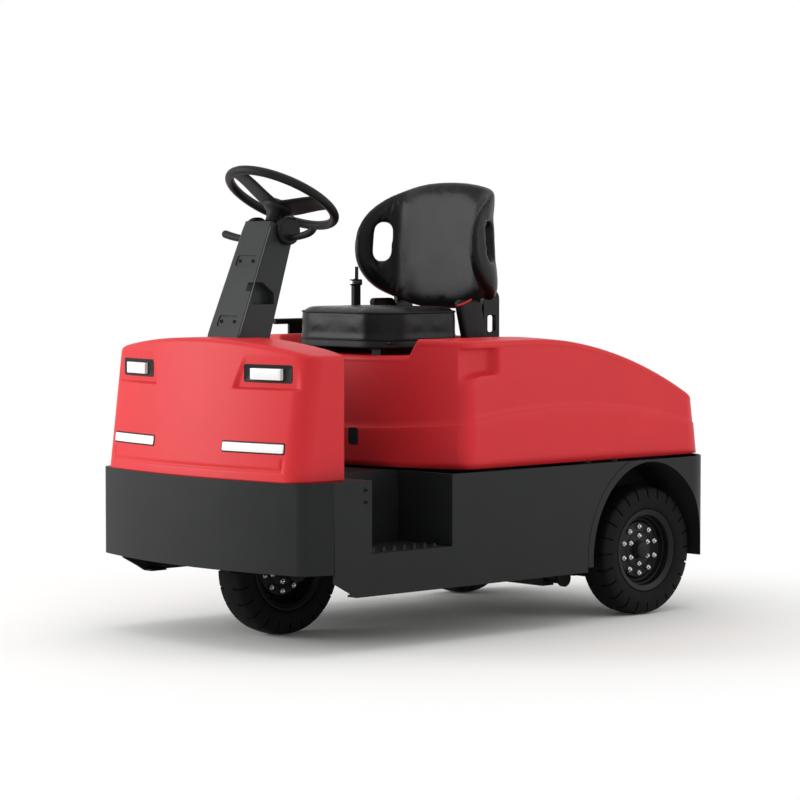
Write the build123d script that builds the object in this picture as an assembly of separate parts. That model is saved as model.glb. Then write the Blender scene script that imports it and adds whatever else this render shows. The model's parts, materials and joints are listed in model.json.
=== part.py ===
from build123d import *
import os
from math import asin, atan2, cos, degrees, radians, sin, sqrt, tan

# Three-wheel seated electric tow tractor, millimetres.
# X runs to the vehicle's left, Y to its rear and Z up; the ground is Z = 0.

# Overall size and running gear
FRONT_OVERHANG = 379.0       # bumper nose to the front axle
WHEELBASE = 1167.0
REAR_OVERHANG = 354.0        # rear axle to the end of the tow hitch
WIDTH = 1000.0               # over the side plates
TYRE_RADIUS = 207.5
TYRE_WIDTH = 112.0
TYRE_CROWN = 9.0             # fall of the tread from its middle to its edge
TREAD_INSET = 8.0            # tread's edge inside the tyre's widest wall
BEAD_INSET = 14.0            # bead inside the tyre's widest wall
LUG_COUNT = 24               # shoulder slots round each side of a tyre
LUG_SLOT = 5.0               # width of a shoulder slot
LUG_DEPTH = 8.0
LUG_REACH = 38.0             # length of a shoulder slot down the wall and in over the tread
RIM_RADIUS = 132.0           # edge of the rim's lip
RIM_SEAT = 118.0             # the tyre's bore on the rim
RIM_WALL = 6.0
RIM_DISH = 6.0               # rear disc outside the tyre's middle
RIM_FLANGE = 92.0            # flat of the disc that the wheel nuts sit on
HUB_WALL = 22.0
HUB_CAP = 10.0               # rear hub cap beyond the spindle's end
REAR_HUB_HALF = 28.0
REAR_TYRE_INSET = 42.0       # side plate's outer face to the tyre's outer wall
FIT = 0.3                    # gap between pieces that turn or seat on each other
CLEAR = 8.0                  # gap that a moving piece keeps from its neighbours
SLACK = 2.0                  # open line between fixed panels
FAR = 3000.0                 # reach of a cut beyond the vehicle

# Steel plate body
PLATE = 8.0                  # side plates, bumper and rear plate
SHEET = 6.0                  # tray, step wells and floor
SKIRT_TOP = 504.0
SKIRT_BOTTOM = 164.0
SKIRT_SETBACK = 160.0        # bumper nose to the side plate's front end
SKIRT_FLANGE = 40.0
CHAMFER_STEPS = ((3.0, 47.0), (58.0, 18.0), (88.0, 0.0))   # run back and height over the bottom
BUMPER_BOTTOM = 237.0
BUMPER_INSET = 32.0          # side plate's face to the bend at the corner
BUMPER_SETBACK = 68.0        # nose to the bend at the corner
BUMPER_BEND = 45.0
STEP_FRONT = 308.0           # bumper nose to the step's front edge
STEP_LENGTH = 325.5
STEP_LIP = 288.0             # height of the tread
STEP_DEPTH = 240.0           # side plate's face to the step's inner wall
TOOTH_ROWS = 2
TOOTH_COUNT = 7
TOOTH_RADIUS = 9.0
TOOTH_HEIGHT = 9.0
TOOTH_EDGE = 40.0            # side plate's face to the first row of teeth
TOOTH_PITCH = 42.0

# Rear fenders
TAIL = 80.0                  # hitch end to the body's rear face
ARCH_BACK = 36.0             # rear axle to the arch's centre, forward
ARCH_HEIGHT = 200.0
ARCH_HALF_LENGTH = 262.0
ARCH_RISE = 297.0
ARCH_LIP = 24.0
TRAY_GAP = 14.5              # arch lip to the tray's rear wall
FENDER_WALL = 6.0
FENDER_BOTTOM = 179.0
FENDER_CORNER = 110.0
FENDER_RETURN = 150.0        # length of the fender's turn across the back

# Rear frame, axle and springs
RAIL_X = 306.0               # centre of the frame rail
RAIL_BOTTOM = 300.0
CROSS_DEPTH = 60.0
CROSS_HEIGHT = 120.0
AXLE_RADIUS = 45.0
AXLE_HOUSING = 100.0
HOUSING_HALF = 70.0
HOUSING_ROUND = 24.0
HUB_GAP = 6.0                # axle tube's end to the wheel's hub
SPINDLE_RADIUS = 30.0
SPRING_X = 262.0
SPRING_WIDTH = 50.0
SPRING_SEAT = 45.0           # half the length of the axle's spring seat
SPRING_BEAM_SETBACK = 231.0  # rear axle to the spring beam, forward
SPRING_REACH = 225.0         # rear axle to the rear spring eye
SPRING_EYE_Z = 122.0
SPRING_LUG = 26.0            # half the width of a spring lug, and its end's radius
EYE_RADIUS = 18.0
EYE_PIN = 9.0
LEAF = 8.0
LEAF_COUNT = 3
BEAM_DEPTH = 56.0
BEAM_WIDTH = 50.0
BEAM_HOLE = 10.0
BEAM_HOLES = 4
MOTOR_RADIUS = 80.0
MOTOR_LENGTH = 190.0
MOTOR_Z = 258.0
MOTOR_FIN = 6.0
MOTOR_FINS = 9

# Tow hitch
JAW_COUNT = 4
JAW_PITCH = 50.0
JAW_THICKNESS = 14.0
JAW_HALF = 45.0
JAW_BASE = 255.0             # underside of the lowest jaw
PIN_BORE = 15.0
HITCH_PLATE = 12.0
HITCH_EDGE = 12.0            # hitch plate above and below the jaws
HITCH_SIDE = 25.0            # hitch plate beside the jaws

# Battery
BATTERY_GAP = 62.0          # tray wall to the battery, so that the lifting hood passes it
BATTERY_SIDE = 136.0         # side wall of the tray to the battery
BATTERY_HEIGHT = 600.0

# Front fork and turntable
FORK_ARM = 18.0
FORK_ARM_HALF = 42.0         # half the arm's width, and its end's radius
FORK_GAP = 16.0              # tyre wall to the arm
FORK_HEAD = 110.0
FORK_HEAD_DROP = 66.0        # floor's underside to the head's lower face
FORK_HEAD_THICKNESS = 16.0
KINGPIN_RADIUS = 28.0
KINGPIN_END = 4.0            # kingpin's end below the floor
FRONT_AXLE_RADIUS = 16.0
CARRIER_HALF = 240.0
CARRIER_LENGTH = 300.0
THRUST_EDGE = 10.0           # thrust ring inside the head's edge

# Front cowl and dash
COWL_INSET = 45.0            # side plate's face to the cowl's side
COWL_NOSE = 5.0              # bumper nose to the cowl's foot
COWL_BOW = 60.0              # setback of the cowl's corners behind its nose
COWL_LEAN = 7.35             # degrees from upright
COWL_LENGTH = 235.0
COWL_CORNER = 70.0
COWL_HEIGHT = 409.0          # side plate's top to the cowl's crown
COWL_CROWN = 53.0            # crown above the cowl's sides
COWL_WALL = 5.0
COWL_EDGE = 14.0             # rounding of the cowl's top edge
DASH_INSET = 4.0             # cowl's rear edge to the dash panel
DASH_PANEL = 8.0
LAMP_DEPTH = 20.0
LAMP_SINK = 2.0              # lens behind the cowl's face
HEADLAMP = (226.0, 387.0, 286.0, 328.0)   # inner X, outer X, lower and upper edge over the plates
MARKER = (162.0, 395.0, 78.0, 112.0)
POCKET = (210.0, 255.0, 405.0, 240.0, 345.0)   # inner X below and above, outer X, lower and upper edge
POCKET_DEPTH = 9.0

# Steering column and wheel
WHEEL_CENTRE_BACK = 395.0    # bumper nose to the steering wheel's centre
WHEEL_CENTRE_Z = 1330.0
WHEEL_TILT = 28.9
WHEEL_RADIUS = 185.0         # outside of the rim
WHEEL_RIM = 14.0
WHEEL_DISH = 34.0            # hub below the rim
SPOKE_COUNT = 3
SPOKE_ROOT = 58.0
SPOKE_TIP = 40.0
SPOKE_THICKNESS = 12.0
HUB_RADIUS = 42.0
HUB_HEIGHT = 26.0
BOSS_RADIUS = 26.0           # foot of the cone under the hub
BOSS_TOP = 36.0
BOSS_HEIGHT = 52.0
SHAFT_RADIUS = 12.0
SHAFT_LENGTH = 140.0
COLUMN_FOOT_HALF = 76.0
COLUMN_HEAD_HALF = 62.0
COLUMN_FRONT = 157.0         # bumper nose to the column's front face
COLUMN_DEPTH = 128.0
COLUMN_KNEE = 405.0          # height over the plates where the column starts to lean
COLUMN_HEAD = 107.0          # steering wheel's centre to the column's head
COLUMN_HEAD_DEPTH = 98.0
COLUMN_EDGE = 9.0
PAD_SIZE = (88.0, 36.0)
PAD_PLACES = (55.0, 250.0)   # pads' distance up the leaning front face
PAD_DEPTH = 3.0
NICHE = (-735.0, -650.0, 1010.0, 1076.0)   # pocket in the column's left side, Y and Z
NICHE_DEPTH = 34.0
POD_RADIUS = 42.0
POD_BACK = 14.0
POD_LENGTH = 24.0
STALK_RADIUS = 6.5
STALK_REACH = 130.0
STALK_GRIP = 9.5
STALK_GRIP_LENGTH = 60.0
STALK_RISE = 9.0
PEDAL_PLACES = (140.0, 250.0)
PEDAL_SIZE = (70.0, 10.0, 110.0)
PEDAL_ARM = 16.0
PEDAL_REACH = 70.0
PEDAL_RISE = 95.0
PEDAL_TILT = 40.0

# Red seat console and rear hood
HOOD_GAP = 8.0               # open line between side plates and hood
HOOD_WALL = 8.0
HOOD_INSET = 20.0            # side plate's face to the hood's side
CONSOLE_NOSE = 595.0         # bumper nose to the console's front
CONSOLE_BOW = 1000.0         # plan radius of the console's front
CONSOLE_CORNER = 60.0
HOOD_TAIL_GAP = 8.0          # hood's rear face ahead of the body's rear face
HOOD_CORNER = 100.0
HOOD_DRAFT = 1.6             # lean of the walls above the crease, degrees
HOOD_LEDGE = 3.0             # walls step in at the crease
CREASE_FRONT = 112.0         # crease over the hood's foot at the console, the middle and the tail
CREASE_MIDDLE = 172.0
CREASE_TAIL = 92.0
DECK_HEIGHT = 391.0          # hood's foot to the deck
DECK_FALL = 802.0            # tail to where the deck starts to fall
DECK_ARC = 1600.0            # radius of the falling deck
TAIL_LEAN = 26.0             # tail's top ahead of its foot
TAIL_ROUND = 45.0
DECK_EDGE = 20.0             # rounding of the deck's edges
WELL_DEPTH = 53.0
WELL_HALF = 288.0
WELL_SLOPE = 28.0            # well's side walls lean out by this
WELL_LENGTH = 570.0          # console's front to the well's rear wall
GRIP_DEPTH = 30.0            # grip notch in each front shoulder
GRIP_LENGTH = 245.0          # console's front to the notch's rear wall
GRIP_TOP = 18.0              # deck to the notch's upper edge
GRIP_LOW = 138.0             # deck to the notch's lower edge at its front
GRIP_RISE = 45.0             # lower edge climbs by this to the rear
LOCKER = (300.0, 620.0, 900.0)   # tray in the deck: half width, front and rear end behind the console
LOCKER_DEPTH = 16.0
SWITCH_SLOT = (95.0, 40.0, 52.0, 88.0)   # slot in the console: X, width, height, centre over its foot
SWITCH_CORNER = 8.0
HINGE_RADIUS = 8.0
HINGE_PIN = 4.0
HINGE_KNUCKLE = 40.0
HINGE_LEAF = 45.0            # height of each hinge leaf
HINGE_X = 180.0
HINGE_GAP = 1.0
BUFFER_RADIUS = 14.0
BUFFER_SETBACKS = (30.0, 150.0)   # behind the tray, and ahead of the arch's centre

# Seat
SEAT_SETBACK = 10.0          # console's front to the cushion's front
CUSHION_LENGTH = 375.0
CUSHION_HALF = 225.0
CUSHION_THICKNESS = 100.0
CUSHION_CORNER = 110.0
CUSHION_EDGE = 32.0
RAIL_HEIGHT = 36.0
RAIL_SEAT_X = 150.0
RAIL_WIDTH = 40.0
RAIL_INSET = 40.0            # rail's ends inside the cushion's ends
SEAT_PAN = 5.0
PAN_INSET = 20.0
BACK_SETBACK = 75.0          # cushion's rear end to the backrest's front
BACK_HALF = 310.0            # half width of the oval that trims the backrest
BACK_LIFT = 289.0            # seat pan to the oval's centre
BACK_RISE = 215.0            # oval's centre up to the top
BACK_DROP = 205.0            # oval's centre down to the foot
BACK_FLAT = 160.0            # half width of the backrest's straight middle
BACK_BEND = 100.0            # radius of the bend into each wing
BACK_TURN = 58.0             # degrees that each wing turns forward
BACK_WING = 62.0             # straight length of a wing beyond the bend
BACK_WALL = 60.0
BACK_EDGE = 14.0
BACK_RECLINE = 3.0
HAND_HOLE = (122.0, 76.0)    # hand hole's height and width in each wing
HAND_HOLE_RISE = 20.0        # hole's centre over the oval's
ARM_X = 200.0                # centre to the seat frame's side plate
ARM_HEIGHT = 160.0
ARM_FOOT = 60.0
ARM_START = 72.0             # cushion's rear end to the side plate's upright
ARM_REACH = 140.0            # cushion's rear end to the side plate's rear edge
ARM_CORNER = 30.0
LOOP_WALL = 16.0
BUCKLE = (45.0, 14.0, 20.0)  # belt clip's width, depth and height
BUCKLE_STRAP = 28.0
BUCKLE_RISE = 170.0          # seat pan to the clip
TONGUE = (16.0, 5.0, 40.0)   # tongue's width, depth and height above the clip
BUCKLE_SETBACK = 315.0       # cushion's front to the buckle
LEVER_SETBACK = 50.0         # console's front to the lever's plate
LEVER_PLATE = (8.0, 70.0, 40.0)
LEVER_BAR = (18.0, 130.0, 18.0)
TAIL_LAMP = (255.0, 80.0, 14.0, 40.0)    # inner X, width, depth and height
TAIL_LAMP_DROP = 69.0        # side plate's top to the tail lamp's top

# Places worked out from the sizes above
LENGTH = FRONT_OVERHANG + WHEELBASE + REAR_OVERHANG
NOSE = -LENGTH / 2
TAIL_Y = LENGTH / 2 - TAIL
FRONT_AXLE_Y = NOSE + FRONT_OVERHANG
REAR_AXLE_Y = FRONT_AXLE_Y + WHEELBASE
HALF = WIDTH / 2
TYRE_HALF = TYRE_WIDTH / 2
REAR_TYRE_X = HALF - REAR_TYRE_INSET - TYRE_HALF
BEAD = TYRE_HALF - BEAD_INSET
SKIRT_FRONT = NOSE + SKIRT_SETBACK
STEP_Y0 = NOSE + STEP_FRONT
STEP_Y1 = STEP_Y0 + STEP_LENGTH
STEP_INNER = HALF - STEP_DEPTH
FLOOR_Z = SKIRT_TOP - SHEET
FORK_HEAD_Z = FLOOR_Z - FORK_HEAD_DROP
ARCH_Y = REAR_AXLE_Y - ARCH_BACK
TRAY_Y0 = STEP_Y1 + SHEET
TRAY_Y1 = ARCH_Y - ARCH_HALF_LENGTH - ARCH_LIP - TRAY_GAP
COWL_HALF = HALF - COWL_INSET
COWL_TOP = SKIRT_TOP + COWL_HEIGHT
COWL_REAR = NOSE + COWL_NOSE + COWL_LENGTH
COLUMN_Y0 = NOSE + COLUMN_FRONT
COLUMN_Y1 = COLUMN_Y0 + COLUMN_DEPTH
COLUMN_KNEE_Z = SKIRT_TOP + COLUMN_KNEE
WHEEL_CENTRE = (0, NOSE + WHEEL_CENTRE_BACK, WHEEL_CENTRE_Z)
STEERING_FRAME = Location(WHEEL_CENTRE) * Rot(-WHEEL_TILT, 0, 0)
HOOD_Z = SKIRT_TOP + HOOD_GAP
HOOD_HALF = HALF - HOOD_INSET
HOOD_TAIL = TAIL_Y - HOOD_TAIL_GAP
CONSOLE_Y = NOSE + CONSOLE_NOSE
DECK_Z = HOOD_Z + DECK_HEIGHT
WELL_Z = DECK_Z - WELL_DEPTH
HINGE_Y = TAIL_Y + HINGE_RADIUS
HINGE_Z = HOOD_Z + HINGE_RADIUS
CUSHION_Y0 = CONSOLE_Y + SEAT_SETBACK
CUSHION_Y1 = CUSHION_Y0 + CUSHION_LENGTH
PAN_Z = WELL_Z + RAIL_HEIGHT
CUSHION_Z = PAN_Z + SEAT_PAN
BACK_Z = PAN_Z + BACK_LIFT


# Shaping helpers

def block(x0, x1, y0, y1, z0, z1):
    """Box between two corners."""
    size = Box(x1 - x0, y1 - y0, z1 - z0)
    return Pos((x0 + x1) / 2, (y0 + y1) / 2, (z0 + z1) / 2) * size


def outline(*curves):
    """Face inside a closed run of curves."""
    return make_face([edge for curve in curves for edge in curve.edges()])


def polygon(points):
    """Face inside straight lines through the points."""
    return outline(Polyline(*points, close=True))


def upright(face, z0, z1):
    """Plan outline in (X, Y) carried up from z0 to z1."""
    return extrude(Pos(0, 0, z0) * face, z1 - z0)


def across(face, x0, x1):
    """Side outline in (Y, Z) carried along X from x0 to x1."""
    return extrude(Plane.YZ.offset(x0) * face, x1 - x0)


def along(face, y0, y1):
    """Front outline in (X, Z) carried along Y from y0 to y1."""
    return extrude(Plane.XZ.offset(-y0) * face, y0 - y1)


def rod(radius, x0, x1, y, z):
    """Round bar along X."""
    return across(Pos(y, z) * Circle(radius), x0, x1)


def mirrored(solid):
    """The same piece on the vehicle's right."""
    return mirror(solid, Plane.YZ)


def pair(solid):
    """A piece and its twin on the vehicle's right, in one node."""
    return Compound([solid, mirrored(solid)])


# Wheels

def tyre():
    """Solid tyre about the X axis: round walls, crowned tread and slots over both shoulders."""
    shoulder = TYRE_HALF - TREAD_INSET
    wall_mid = (RIM_RADIUS + TYRE_RADIUS) / 2
    edge = TYRE_RADIUS - TYRE_CROWN
    section = outline(
        Line((-BEAD, RIM_SEAT + FIT), (BEAD, RIM_SEAT + FIT)),
        Line((BEAD, RIM_SEAT + FIT), (BEAD, RIM_RADIUS + FIT)),
        ThreePointArc((BEAD, RIM_RADIUS + FIT), (TYRE_HALF, wall_mid), (shoulder, edge)),
        ThreePointArc((shoulder, edge), (0, TYRE_RADIUS), (-shoulder, edge)),
        ThreePointArc((-shoulder, edge), (-TYRE_HALF, wall_mid), (-BEAD, RIM_RADIUS + FIT)),
        Line((-BEAD, RIM_RADIUS + FIT), (-BEAD, RIM_SEAT + FIT)),
    )
    body = revolve(Plane.XZ * section, Axis.X)
    beyond = TYRE_HALF + LUG_DEPTH
    above = TYRE_RADIUS + LUG_DEPTH
    cut = polygon((
        (beyond, edge - LUG_REACH), (TYRE_HALF - LUG_DEPTH / 2, edge - LUG_REACH),
        (shoulder - LUG_DEPTH, edge - LUG_DEPTH), (shoulder - LUG_REACH, edge + LUG_DEPTH / 2),
        (shoulder - LUG_REACH, above), (beyond, above),
    ))
    slot = extrude(Plane.XZ * cut, LUG_SLOT / 2, both=True)
    slots = []
    for index in range(LUG_COUNT):
        turned = Rot(index * 360 / LUG_COUNT, 0, 0) * slot
        slots += [turned, mirrored(turned)]
    return body - slots


def rim(bore, hub_half, dish, cap):
    """Pressed rim about the X axis: barrel with lips, a dished disc, a hub and an outer cap."""
    lip = BEAD + RIM_WALL
    seat = RIM_SEAT - RIM_WALL
    hub = bore + HUB_WALL
    fall = RIM_SEAT - RIM_FLANGE
    section = polygon((
        (-hub_half, bore + FIT), (hub_half, bore + FIT), (hub_half, hub), (dish + RIM_WALL, hub),
        (dish + RIM_WALL, RIM_FLANGE), (dish + RIM_WALL - fall / 2, seat), (lip, seat), (lip, RIM_RADIUS),
        (BEAD + FIT, RIM_RADIUS), (BEAD + FIT, RIM_SEAT), (-BEAD - FIT, RIM_SEAT), (-BEAD - FIT, RIM_RADIUS),
        (-lip, RIM_RADIUS), (-lip, seat), (dish - RIM_WALL - fall / 2, seat), (dish - RIM_WALL, RIM_FLANGE),
        (dish - RIM_WALL, hub), (-hub_half, hub),
    ))
    body = revolve(Plane.XZ * section, Axis.X)
    if cap:
        cover = rod(hub, hub_half, hub_half + cap, 0, 0)
        body += fillet(cover.faces().sort_by(Axis.X)[-1].edges(), cap / 2)
    return body


def wheels():
    """Tyres and rims at the three wheels."""
    front = Pos(0, FRONT_AXLE_Y, TYRE_RADIUS)
    rear = Pos(REAR_TYRE_X, REAR_AXLE_Y, TYRE_RADIUS)
    rubber = tyre()
    rear_rim = rear * rim(SPINDLE_RADIUS, REAR_HUB_HALF, RIM_DISH, HUB_CAP)
    return {
        "front_tyre": front * rubber,
        "front_rim": front * rim(FRONT_AXLE_RADIUS, TYRE_HALF + FORK_GAP - CLEAR, 0.0, 0.0),
        "rear_tyre_left": rear * rubber,
        "rear_tyre_right": mirrored(rear * rubber),
        "rear_rim_left": rear_rim,
        "rear_rim_right": mirrored(rear_rim),
    }


# Fork and turntable

def fork():
    """Steered fork: head disc, kingpin and two arms with round ends."""
    inner = TYRE_HALF + FORK_GAP
    head_top = FORK_HEAD_Z + FORK_HEAD_THICKNESS
    head = Pos(0, FRONT_AXLE_Y) * upright(Circle(FORK_HEAD), FORK_HEAD_Z, head_top)
    pin = Pos(0, FRONT_AXLE_Y) * upright(Circle(KINGPIN_RADIUS), FORK_HEAD_Z, FLOOR_Z - KINGPIN_END)
    middle = (TYRE_RADIUS + FORK_HEAD_Z) / 2
    strap = Pos(FRONT_AXLE_Y, middle) * Rectangle(2 * FORK_ARM_HALF, FORK_HEAD_Z - TYRE_RADIUS)
    end = Pos(FRONT_AXLE_Y, TYRE_RADIUS) * Circle(FORK_ARM_HALF)
    hole = Pos(FRONT_AXLE_Y, TYRE_RADIUS) * Circle(FRONT_AXLE_RADIUS + FIT)
    arm = across(strap + end - hole, inner, inner + FORK_ARM)
    return head + pin + arm + mirrored(arm)


def turntable_carrier():
    """Plate under the floor with the kingpin's bore and its thrust ring."""
    y0 = FRONT_AXLE_Y - CARRIER_LENGTH / 2
    head_top = FORK_HEAD_Z + FORK_HEAD_THICKNESS
    ring = Pos(0, FRONT_AXLE_Y) * upright(Circle(FORK_HEAD - THRUST_EDGE), head_top + FIT, head_top + CLEAR)
    plate = block(-CARRIER_HALF, CARRIER_HALF, y0, y0 + CARRIER_LENGTH, head_top + CLEAR, FLOOR_Z)
    bore = Pos(0, FRONT_AXLE_Y) * upright(Circle(KINGPIN_RADIUS + FIT), head_top, SKIRT_TOP)
    return plate + ring - bore


# Bumper, side plates, floor, steps and tray

def front_outline(back):
    """Plan outline of the plate body from the bent bumper back to the line Y = back."""
    bend_y = NOSE + BUMPER_SETBACK
    bend_x = HALF - BUMPER_INSET
    face = outline(
        ThreePointArc((-bend_x, bend_y), (0, NOSE), (bend_x, bend_y)),
        Polyline((bend_x, bend_y), (HALF, SKIRT_FRONT), (HALF, back),
                 (-HALF, back), (-HALF, SKIRT_FRONT), (-bend_x, bend_y)),
    )
    bends = [v for v in face.vertices() if abs(v.Y - bend_y) < 1]
    return fillet(bends, BUMPER_BEND)


def front_bumper():
    """Bent plate round the nose, ending where the side plates start."""
    outer = front_outline(STEP_Y0)
    shell = upright(outer - offset(outer, -PLATE), BUMPER_BOTTOM, SKIRT_TOP)
    return shell - block(-FAR, FAR, SKIRT_FRONT, FAR, 0, FAR)


def arch(grow):
    """Face inside the rear wheel arch, in (Y, Z), grown outwards."""
    return Pos(ARCH_Y, ARCH_HEIGHT) * Ellipse(ARCH_HALF_LENGTH + grow, ARCH_RISE + grow)


def side_plate():
    """Left side plate with the step's notch, the chamfered front foot and the top flange."""
    foot = [(SKIRT_FRONT + run, SKIRT_BOTTOM + rise) for run, rise in CHAMFER_STEPS]
    face = polygon((
        (SKIRT_FRONT, SKIRT_TOP), (STEP_Y0, SKIRT_TOP), (STEP_Y0, STEP_LIP), (STEP_Y1, STEP_LIP),
        (STEP_Y1, SKIRT_TOP), (ARCH_Y, SKIRT_TOP), (ARCH_Y, SKIRT_BOTTOM), *reversed(foot),
    ))
    plate = across(face, HALF - PLATE, HALF)
    flange = block(HALF - SKIRT_FLANGE, HALF, TRAY_Y1, ARCH_Y, SKIRT_TOP - PLATE, SKIRT_TOP)
    front_foot = SKIRT_FRONT + CHAMFER_STEPS[-1][0]
    lower = block(HALF - SKIRT_FLANGE, HALF, front_foot, STEP_Y0, SKIRT_BOTTOM, SKIRT_BOTTOM + SHEET)
    return plate + flange + lower - across(arch(ARCH_LIP + SLACK), 0, FAR)


def floor_plate():
    """Operator's floor inside the bumper, notched over the two steps."""
    inside = offset(front_outline(TRAY_Y0 + PLATE), -PLATE)
    notch = block(STEP_INNER - SHEET, FAR, STEP_Y0 - SHEET, FAR, 0, FAR)
    return upright(inside, FLOOR_Z, SKIRT_TOP) - notch - mirrored(notch)


def step_well():
    """Left boarding step: a folded box open to the side and the top, with grip teeth on its tread."""
    well = block(STEP_INNER - SHEET, HALF - PLATE, STEP_Y0 - SHEET, STEP_Y1 + SHEET,
                 STEP_LIP - SHEET, SKIRT_TOP)
    well -= block(STEP_INNER, HALF, STEP_Y0, STEP_Y1, STEP_LIP, FAR)
    tooth = Cone(TOOTH_RADIUS, TOOTH_RADIUS / 2, TOOTH_HEIGHT)
    first = (STEP_Y0 + STEP_Y1) / 2 - (TOOTH_COUNT - 1) * TOOTH_PITCH / 2
    for row in range(TOOTH_ROWS):
        x = HALF - TOOTH_EDGE - row * TOOTH_PITCH
        for index in range(TOOTH_COUNT):
            well += Pos(x, first + index * TOOTH_PITCH, STEP_LIP + TOOTH_HEIGHT / 2) * tooth
    return well


def battery_tray():
    """Folded tray between the side plates that holds the battery."""
    inner_half = HALF - PLATE
    outer = block(-inner_half, inner_half, TRAY_Y0, TRAY_Y1, SKIRT_BOTTOM, SKIRT_TOP)
    return outer - block(-inner_half + SHEET, inner_half - SHEET, TRAY_Y0 + SHEET, TRAY_Y1 - SHEET,
                         SKIRT_BOTTOM + SHEET, FAR)


def battery_block():
    """Traction battery as one plain block standing in its tray."""
    inset = SHEET + BATTERY_GAP
    half = HALF - PLATE - SHEET - BATTERY_SIDE
    z0 = SKIRT_BOTTOM + SHEET
    return block(-half, half, TRAY_Y0 + inset, TRAY_Y1 - inset, z0, z0 + BATTERY_HEIGHT)


# Rear fenders, frame and hitch

def rear_fender():
    """Left fender: side skin round the arch, round rear corner and the arch's liner."""
    back_x = HALF - FENDER_RETURN
    outer = polygon(((HALF, 0), (HALF, TAIL_Y), (back_x, TAIL_Y), (back_x, 0)))
    corner = [v for v in outer.vertices() if v.X > back_x + 1 and v.Y > 1]
    outer = fillet(corner, FENDER_CORNER)
    wall = outer - offset(outer, -FENDER_WALL)
    wall -= Pos(back_x, TAIL_Y / 2) * Rectangle(4 * FENDER_WALL, TAIL_Y - 2 * FENDER_WALL)
    skin = upright(wall, FENDER_BOTTOM, SKIRT_TOP)
    skin -= block(0, FAR, -FAR, ARCH_Y, 0, FAR) - across(arch(ARCH_LIP), 0, FAR)
    inner_x = RAIL_X + SHEET
    inside = outer + Pos((inner_x + back_x) / 2, TAIL_Y / 2) * Rectangle(back_x - inner_x, TAIL_Y)
    liner = across(arch(FENDER_WALL), inner_x, HALF - FENDER_WALL / 2)
    liner &= upright(inside, FENDER_BOTTOM, SKIRT_TOP)
    return skin + liner - across(arch(0), 0, FAR)


def rear_plate():
    """Plate across the back between the two fenders."""
    half = HALF - FENDER_RETURN - SLACK
    return block(-half, half, TAIL_Y - PLATE, TAIL_Y, BUMPER_BOTTOM, SKIRT_TOP)


def rear_frame():
    """Two rails from the tray to the rear plate, with a cross tube and the spring lugs."""
    beam_y = REAR_AXLE_Y - SPRING_BEAM_SETBACK
    eye_y = REAR_AXLE_Y + SPRING_REACH
    x0 = RAIL_X - SHEET
    x1 = RAIL_X + SHEET
    back = TAIL_Y - PLATE
    rail = block(x0, x1, TRAY_Y1, back, RAIL_BOTTOM, SKIRT_TOP)
    for y in (beam_y, eye_y):
        rail += block(x0, x1, y - SPRING_LUG, y + SPRING_LUG, SPRING_EYE_Z, RAIL_BOTTOM)
        rail += rod(SPRING_LUG, x0, x1, y, SPRING_EYE_Z)
        rail += rod(EYE_PIN, SPRING_X - SPRING_WIDTH / 2, x0, y, SPRING_EYE_Z)
    cross = block(-x0, x0, back - CROSS_DEPTH, back, RAIL_BOTTOM, RAIL_BOTTOM + CROSS_HEIGHT)
    return rail + mirrored(rail) + cross


def spring_beam():
    """Drilled beam under the frame between the front spring lugs."""
    y = REAR_AXLE_Y - SPRING_BEAM_SETBACK
    half = SPRING_X - SPRING_WIDTH / 2
    z0 = SPRING_EYE_Z - BEAM_DEPTH / 2
    beam = block(-half, half, y - BEAM_WIDTH / 2, y + BEAM_WIDTH / 2, z0, z0 + BEAM_DEPTH)
    pitch = 2 * half / BEAM_HOLES
    for index in range(BEAM_HOLES):
        x = -half + (index + 0.5) * pitch
        beam -= along(Pos(x, SPRING_EYE_Z) * Circle(BEAM_HOLE), y - BEAM_WIDTH, y + BEAM_WIDTH)
    return beam


def leaf_springs():
    """Leaf packs under the axle with rolled eyes on the lugs' pins."""
    y0 = REAR_AXLE_Y - SPRING_BEAM_SETBACK
    y1 = REAR_AXLE_Y + SPRING_REACH
    top = SPRING_EYE_Z + EYE_RADIUS
    x0 = SPRING_X - SPRING_WIDTH / 2
    x1 = SPRING_X + SPRING_WIDTH / 2
    pack = block(x0, x1, y0, y1, top - LEAF, top)
    for leaf in range(1, LEAF_COUNT):
        inset = leaf * (y1 - y0) / (2 * LEAF_COUNT + 1)
        pack += block(x0, x1, y0 + inset, y1 - inset, top - (leaf + 1) * LEAF, top - leaf * LEAF)
    for y in (y0, y1):
        pack += rod(EYE_RADIUS, x0, x1, y, SPRING_EYE_Z)
        pack -= rod(EYE_PIN + FIT, x0, x1, y, SPRING_EYE_Z)
    return pair(pack)


def rear_axle():
    """Axle tube with a round gear housing, wheel spindles and the spring seats."""
    hub_face = REAR_TYRE_X - REAR_HUB_HALF - HUB_GAP
    end = REAR_TYRE_X + REAR_HUB_HALF - FIT
    tube = rod(AXLE_RADIUS, -hub_face, hub_face, REAR_AXLE_Y, TYRE_RADIUS)
    tube += rod(SPINDLE_RADIUS, -end, end, REAR_AXLE_Y, TYRE_RADIUS)
    housing = rod(AXLE_HOUSING, -HOUSING_HALF, HOUSING_HALF, REAR_AXLE_Y, TYRE_RADIUS)
    housing = fillet(housing.edges(), HOUSING_ROUND)
    seat = block(SPRING_X - SPRING_WIDTH / 2, SPRING_X + SPRING_WIDTH / 2, REAR_AXLE_Y - SPRING_SEAT,
                 REAR_AXLE_Y + SPRING_SEAT, SPRING_EYE_Z + EYE_RADIUS, TYRE_RADIUS)
    return tube + housing + seat + mirrored(seat)


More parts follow.
